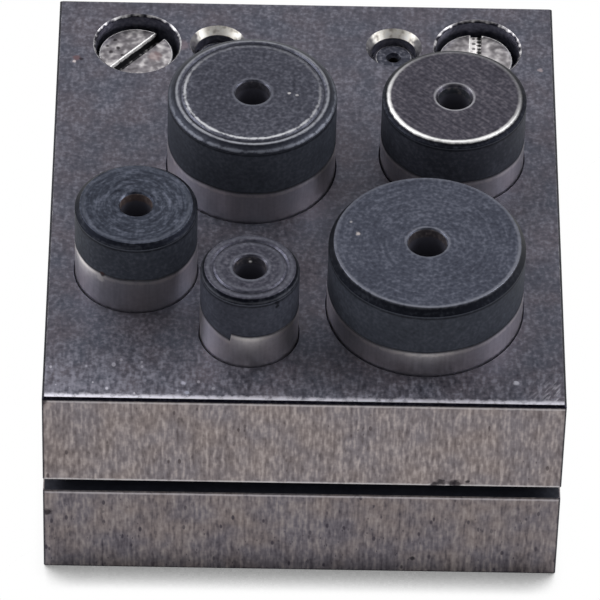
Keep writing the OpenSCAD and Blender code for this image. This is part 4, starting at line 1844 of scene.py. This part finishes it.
@dataclass(frozen=True)
class Studio:
    """A white floor, soft light and the camera of the photograph.

    Attributes:
        yaw: Direction of the camera, in degrees round the block from the front.
        elevation: Its height above the level, in degrees.
        roll: Its roll, in degrees.
        offset: The block's origin in the camera's own axes, in millimetres, with the sign turned.
        lens: Focal length.
        sensor: Width of the sensor.
        daylight: Strength of the light from all round.
        floor_half: Half of the floor's side, in metres.
        shadow: Reach of the shadow round the block's foot, in millimetres.
        shadow_from: Direction in which the floor looks for what shades it: back, and a little up.
        blackest: Share of open sky in that direction at which the floor would be black.
        shadow_gain: How fast the floor turns white from there.
        front: Direction of the front of the room, from the block.
        front_spread: Cosines of the angles from there at which the room begins to darken and is darkest.
        front_card: How much darker the room is over the front, as steel mirrors it.
    """

    yaw: float = -0.923
    elevation: float = 44.498
    roll: float = 1.604
    offset: tuple[float, float, float] = (-0.078, 8.672, 840.464)
    lens: float = 6207.7 / 600 * 36
    sensor: float = 36.0
    daylight: float = 0.8
    floor_half: float = 3.0
    shadow: float = 5.5
    shadow_from: tuple[float, float, float] = (0.0, 0.985, 0.17)
    blackest: float = 0.29
    shadow_gain: float = 2.3
    front: tuple[float, float, float] = (0.0, -0.71, 0.7)
    front_spread: tuple[float, float] = (0.45, 0.9)
    front_card: float = 0.75

    def camera(self) -> None:
        """Sets the camera up as the photograph was taken."""
        yaw, rise, roll = (math.radians(a) for a in (self.yaw, self.elevation, self.roll))
        back = Vector((math.sin(yaw) * math.cos(rise), -math.cos(yaw) * math.cos(rise), math.sin(rise)))
        level = Vector((math.cos(yaw), math.sin(yaw), 0))
        above = back.cross(level)
        right = math.cos(roll) * level + math.sin(roll) * above
        up = -math.sin(roll) * level + math.cos(roll) * above
        place = (self.offset[0] * right + self.offset[1] * up + self.offset[2] * back) * MM
        data = bpy.data.cameras.new("camera")
        data.lens, data.sensor_width, data.sensor_fit = self.lens, self.sensor, "HORIZONTAL"
        data.clip_start, data.clip_end = 0.05, 20.0
        made = bpy.data.objects.new("camera", data)
        turn = Matrix((right, up, back)).transposed().to_4x4()
        made.matrix_world = Matrix.Translation(place) @ turn
        bpy.context.scene.collection.objects.link(made)
        bpy.context.scene.camera = made

    def floor(self) -> None:
        """Lays a white floor that shows white to the camera and in reflections, and takes a soft shadow."""
        half = self.floor_half
        mesh = bpy.data.meshes.new("floor")
        corners = [(-half, -half, 0), (half, -half, 0), (half, half, 0), (-half, half, 0)]
        mesh.from_pydata(corners, [], [(0, 1, 2, 3)])
        material = bpy.data.materials.new("floor")
        material.use_nodes = True
        material.node_tree.nodes.clear()
        graph = Graph(material.node_tree)
        # The direction has to be linked: a value set on the socket itself is ignored.
        reach = {"Distance": self.shadow * MM, "Normal": graph.join(*self.shadow_from)}
        open_sky = graph.node("AmbientOcclusion", reach, samples=16).outputs["AO"]
        level = graph.times(graph.less(open_sky, self.blackest), self.shadow_gain, clamp=True)
        white = graph.node("Emission", {"Color": (1, 1, 1, 1), "Strength": level})
        matt = graph.node("BsdfDiffuse", {"Color": (0.8, 0.8, 0.8, 1)})
        both = graph.node("MixShader", {0: sees_white(graph), 1: matt.outputs[0], 2: white.outputs[0]})
        graph.node("OutputMaterial", {"Surface": both.outputs[0]})
        mesh.materials.append(material)
        made = bpy.data.objects.new("floor", mesh)
        bpy.context.scene.collection.objects.link(made)

    def daylight_world(self) -> None:
        """Lights the scene evenly from all round, white to the camera and in reflections."""
        world = bpy.data.worlds.new("studio")
        bpy.context.scene.world = world
        world.use_nodes = True
        world.node_tree.nodes.clear()
        graph = Graph(world.node_tree)
        way = graph.node("TexCoord").outputs["Generated"]
        ahead = graph.node("VectorMath", {0: way, 1: self.front}, operation="DOT_PRODUCT").outputs["Value"]
        card = graph.times(graph.ramp(ahead, *self.front_spread), self.front_card)
        mirrored = graph.node("LightPath").outputs["Is Glossy Ray"]
        room = graph.less(1.0, graph.times(card, mirrored))
        white = graph.node("Background", {"Color": (1, 1, 1, 1), "Strength": room})
        soft = graph.node("Background", {"Color": (1, 1, 1, 1), "Strength": self.daylight})
        both = graph.node("MixShader", {0: sees_white(graph), 1: soft.outputs[0], 2: white.outputs[0]})
        graph.node("OutputWorld", {"Surface": both.outputs[0]})

    def build(self) -> None:
        """Sets up the camera, the floor and the light."""
        self.camera()
        self.floor()
        self.daylight_world()
        target = Vector((0, 0, 0.03))
        for box in (Softbox("key", (-0.8, 0.25, 0.75), 0.45, 7.0),
                    Softbox("fill", (0.8, 0.1, 0.7), 0.4, 5.5)):
            box.hang(target)
        bpy.context.scene.view_settings.view_transform = "Standard"


# ---------------------------------------------------------------------------------------------------------
# The cutter
# ---------------------------------------------------------------------------------------------------------


def punches() -> list[Punch]:
    """The five punches, as each one looks."""
    pale, white, ink = tone(118, 120, 130), tone(250, 249, 249), tone(12, 13, 18)
    # Light rings on the heads are painted highlights on rims, bevels and groove edges, partly worn steel;
    # dark rings are painted shade on bevels, in grooves and at the hole mouths.
    one_inch = PunchFinish(
        tone(69, 72, 84), tone(108, 111, 124), tone(40, 42, 52), tone(48, 51, 59),
        turning=0.4, pitch=0.4, hole=tone(56, 52, 56), corner=tone(52, 55, 63),
        rings=(Ring(11.85, 0.35, tone(128, 130, 140), 0.7, -70, 0.6), Ring(2.8, 0.28, pale, 0.6, 60, 0.3),
               Ring(2.55, 0.15, tone(40, 42, 50), 0.6), Ring(12.25, 0.3, tone(22, 24, 30), 0.6)),
        spots=(Stain((5.7, -16.8, 42.9), 0.26, tone(150, 148, 152)),
               Stain((6.6, -19.0, 42.9), 0.42, tone(186, 178, 176))))
    seven_eighths = PunchFinish(
        tone(69, 70, 80), tone(108, 109, 120), tone(40, 41, 50), tone(48, 51, 59),
        grain=0.7, turning=0.25, pitch=0.4, bevel=tone(46, 48, 56), corner=tone(38, 40, 48),
        rings=(Ring(8.9, 0.3, tone(206, 207, 212), 0.95, -110, 0.85, 0.9),
               Ring(9.45, 0.25, tone(48, 50, 58), 0.8, -90, 0.0, 0.3),
               Ring(9.95, 0.28, tone(166, 168, 175), 0.8, -100, 0.35),
               Ring(10.3, 0.28, tone(26, 28, 35), 0.8, 90, 0.2),
               Ring(10.85, 0.26, tone(112, 115, 125), 0.7, -75, 0.8, 0.9),
               Ring(2.6, 0.3, pale, 0.5)),
        spots=(Stain((-2.4, 5.8, 44.4), 0.3, tone(190, 188, 190)),
               Stain((-1.4, 5.5, 44.4), 0.3, tone(170, 168, 172))))
    three_quarters = PunchFinish(
        tone(70, 68, 77), tone(112, 108, 116), tone(38, 36, 44), tone(44, 46, 54),
        turning=0.1, scratches=(0.45, -45), hole=tone(44, 48, 56), corner=tone(62, 65, 74),
        rings=(Ring(9.1, 0.3, tone(14, 14, 19), 0.7), Ring(8.65, 0.4, white, 1.0, -115, 0.9, 0.25),
               Ring(2.3, 0.3, tone(28, 30, 37), 0.8),
               Ring(2.62, 0.26, tone(158, 157, 163), 0.9, -80, 0.4, 0.3)))
    five_eighths = PunchFinish(
        tone(58, 62, 73), tone(100, 104, 118), tone(28, 30, 40), tone(44, 47, 55),
        grain=0.5, turning=0.9, pitch=0.5, hole=tone(74, 63, 62),
        rings=(Ring(6.9, 0.35, tone(100, 104, 116), 0.5, -90, 0.5), Ring(7.6, 0.25, tone(20, 22, 30), 0.7)),
        spots=(Stain((-26.5, -20.9, 36.0), 0.75, tone(255, 250, 244)),
               Stain((-26.2, -21.0, 36.9), 0.5, tone(56, 38, 38))))
    half_inch = PunchFinish(
        tone(66, 66, 76), tone(108, 107, 117), tone(36, 35, 44), tone(50, 52, 61), tone(228, 223, 224),
        turning=0.3, pitch=0.35, bevel=tone(18, 20, 27), corner=tone(66, 69, 78),
        rings=(Ring(4.15, 0.4, pale, 0.3), Ring(4.75, 0.3, tone(46, 48, 57), 0.6), Ring(5.4, 0.4, pale, 0.35),
               Ring(2.5, 0.3, pale, 0.5), Ring(6.22, 0.16, pale, 0.25)),
        spots=(Stain((-3.7, -30.8, 41.9), 0.5, ink), Stain((-3.7, -30.8, 41.2), 0.4, ink),
               Stain((-7.2, -23.4, 41.9), 0.3, white)))
    run = (-162, -112, 1.15)
    return [
        Punch("punch_1_inch", "large_punch", 5.0, (0.7, 1.0), Dip(7.5), one_inch),
        Punch("punch_7_8_inch", "rear_punch", 4.5, (1.0, 0.7), Dip(7.9, seed=1.0), seven_eighths,
              ring_in=1.65),
        Punch("punch_3_4_inch", "right_punch", 4.3, (0.8, 0.5), Dip(6.7, seed=2.2), three_quarters,
              hole_edge=0.4),
        Punch("punch_5_8_inch", "left_punch", 4.2, (0.65, 0.55), Dip(6.1, seed=3.1), five_eighths),
        Punch("punch_1_2_inch", "small_punch", 4.2, (0.5, 0.65), Dip(6.3, 0.08, (run,), 4.4), half_inch,
              ring_in=1.6),
    ]


def screws() -> list[Screw]:
    """The two screws, as each one looks."""
    die_top = float(cad_size("die_plate")[1][2])
    top, chips, grime = 29.4, 28.9, tone(34, 30, 34)
    left = marks(grime, (-25.9, 32.2, top, 0.4), (-25.4, 30.6, top, 0.45), (-26.4, 29.8, top, 0.4),
                 (-24.9, 29.2, top, 0.3), (-26.9, 31.0, top, 0.35))
    rust = marks(tone(128, 104, 104), (-20.4, 29.1, top, 1.3), strength=0.6)
    # A row of black spots along the right wall of the right screw's slot is painted shadow.
    right_wall_shadow = marks(tone(8, 8, 10), *((23.6, y, chips, 0.5) for y in (31.4, 32.1, 32.8, 33.5, 34.2, 34.9)),
                 strength=1.0)
    right = marks(grime, *((22.85, y, chips, 0.36) for y in (32.2, 33.2, 34.2, 35.2)),
                  (22.3, 34.6, top, 0.35))
    return [Screw("clamp_screw_left", 49.0, die_top, stains=left + rust),
            Screw("clamp_screw_right", 88.0, die_top, packed=1.2, stains=right_wall_shadow + right)]


def layout_of(made: Sequence[Punch]) -> Layout:
    """Reads the places of the holes off the model.

    Args:
        made: The punches.

    Returns:
        The centres of punches, screws and dowels, and the diameters of the punches.
    """
    corners = [cad_size(punch.node) for punch in made]
    return Layout(tuple((axis_of(punch.node), high[1] - low[1]) for punch, (low, high) in zip(made, corners)),
                  (axis_of("spacer_left"), axis_of("spacer_right")),
                  (axis_of("dowel_left"), axis_of("dowel_right")))


def main() -> None:
    """Builds the studio and the cutter."""
    logging.basicConfig(level=logging.INFO, format="%(name)s: %(message)s")
    Studio().build()
    set_of_punches = punches()
    Block(layout_of(set_of_punches)).build()
    dowels = [Dowel(node) for node in ("dowel_left", "dowel_right")]
    spacers = [Spacer(node) for node in ("spacer_left", "spacer_right")]
    for part in (*screws(), *dowels, *spacers, *set_of_punches):
        part.build()


if __name__ == "__main__":
    main()
